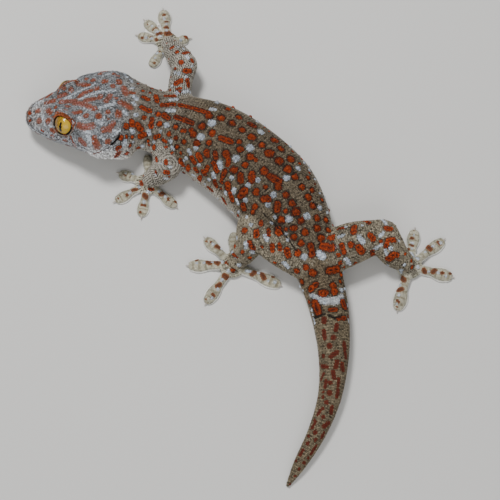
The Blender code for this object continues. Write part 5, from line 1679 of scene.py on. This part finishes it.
def makeClaws():
    # Curved cones on every toe but the first
    bm = bmesh.new()
    for leg in legs.values():
        for heading, reach, _ in leg["toes"][1:]:
            way = np.array([math.cos(math.radians(heading)), math.sin(math.radians(heading)), 0])
            start = np.array([leg["palm"][0], leg["palm"][1], claw["height"]]) + way * reach * claw["start"]
            share = np.linspace(0, 1, claw["rings"])
            path = start + way * (share * claw["length"])[:, None]
            path[:, 2] += claw["arch"] * np.sin(share * math.pi * 0.75) - claw["drop"] * share**2
            rings = []
            for i, f in enumerate(share[:-1]):
                step = Vector(path[i + 1] - path[max(i - 1, 0)]).normalized()
                spin = Vector((0, 0, 1)).rotation_difference(step).to_matrix().to_4x4()
                radius = claw["radius"] * (1 - f) ** claw["taper"] * mm + 1e-5
                place = Matrix.Translation(Vector(path[i]) * mm) @ spin
                ring = bmesh.ops.create_circle(bm, segments=claw["sides"], radius=radius, matrix=place)
                rings.append(ring["verts"])
            for a, b in zip(rings, rings[1:]):
                loops = [edge for edge in bm.edges if edge.verts[0] in a and edge.verts[1] in a
                         or edge.verts[0] in b and edge.verts[1] in b]
                bmesh.ops.bridge_loops(bm, edges=loops)
            for ring in (rings[0], rings[-1]):
                bmesh.ops.contextual_create(bm, geom=ring)
    bmesh.ops.recalc_face_normals(bm, faces=bm.faces[:])
    thing = newObject("claws", bm)
    maker = Maker("horn")
    shade = linear(*claw["shade"])
    tint = maker.mix(maker.noise(500.0), (*shade, 1), (*(shade * claw["sideShade"]), 1))
    thing.data.materials.append(maker.finish(tint, 0.3, Coat_Weight=0.3, Coat_Roughness=0.2))
    return thing


claws = makeClaws()
print("claws ready")

# Floor and lights: a high soft light from the picture's top left and a fill from its bottom, each as its
# place in metres, power and size; the floor's colour is a screen value
light = {"key": (-0.21, 0.35, 0.80, 7.5, 0.2), "fill": (0.05, -0.75, 0.5, 3.2, 0.7), "world": 0.40,
         "floor": (206, 205, 202), "floorSize": 2.0}


def makeLight(name, x, y, z, power, size):
    data = bpy.data.lights.new(name, "AREA")
    data.energy, data.size = power, size
    lamp = bpy.data.objects.new(name, data)
    bpy.context.scene.collection.objects.link(lamp)
    lamp.location = (x, y, z)
    lamp.rotation_euler = Vector((-x, camera["target"][1] * mm - y, -z)).to_track_quat("-Z", "Y").to_euler()


makeLight("key", *light["key"])
makeLight("fill", *light["fill"])
world = bpy.data.worlds.new("studio")
world.use_nodes = True
sky = world.node_tree.nodes["Background"].inputs
sky["Color"].default_value = (1, 1, 1, 1)
sky["Strength"].default_value = light["world"]
bpy.context.scene.world = world
bm = bmesh.new()
bmesh.ops.create_grid(bm, x_segments=1, y_segments=1, size=light["floorSize"])
floor = newObject("floor", bm, smooth=False)
floor.data.materials.append(Maker("floor").finish((*linear(*light["floor"]), 1), 0.8))

sides = [side + "_" + end for side in ("front_right", "front_left", "hind_left", "hind_right")
         for end in ("upper", "lower", "hand" if side.startswith("front") else "foot",
                     "toe_1", "toe_2", "toe_3", "toe_4", "toe_5")]
flesh = ["head", "neck", "torso", "pelvis", "tail_base", "tail_middle", "tail_tip"] + sides
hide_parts(*flesh)
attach(skin, "root")
# Every piece of the coat hangs from the root
for thing in coatObjects:
    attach(thing, "root")
for node, ball in balls.items():
    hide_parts(node)
    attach(ball, "root")
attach(claws, "root")
total = sum(len(thing.data.polygons) for thing in coatObjects)
print("coat", total, "triangles, skin", sum(len(face.vertices) - 2 for face in skin.data.polygons))
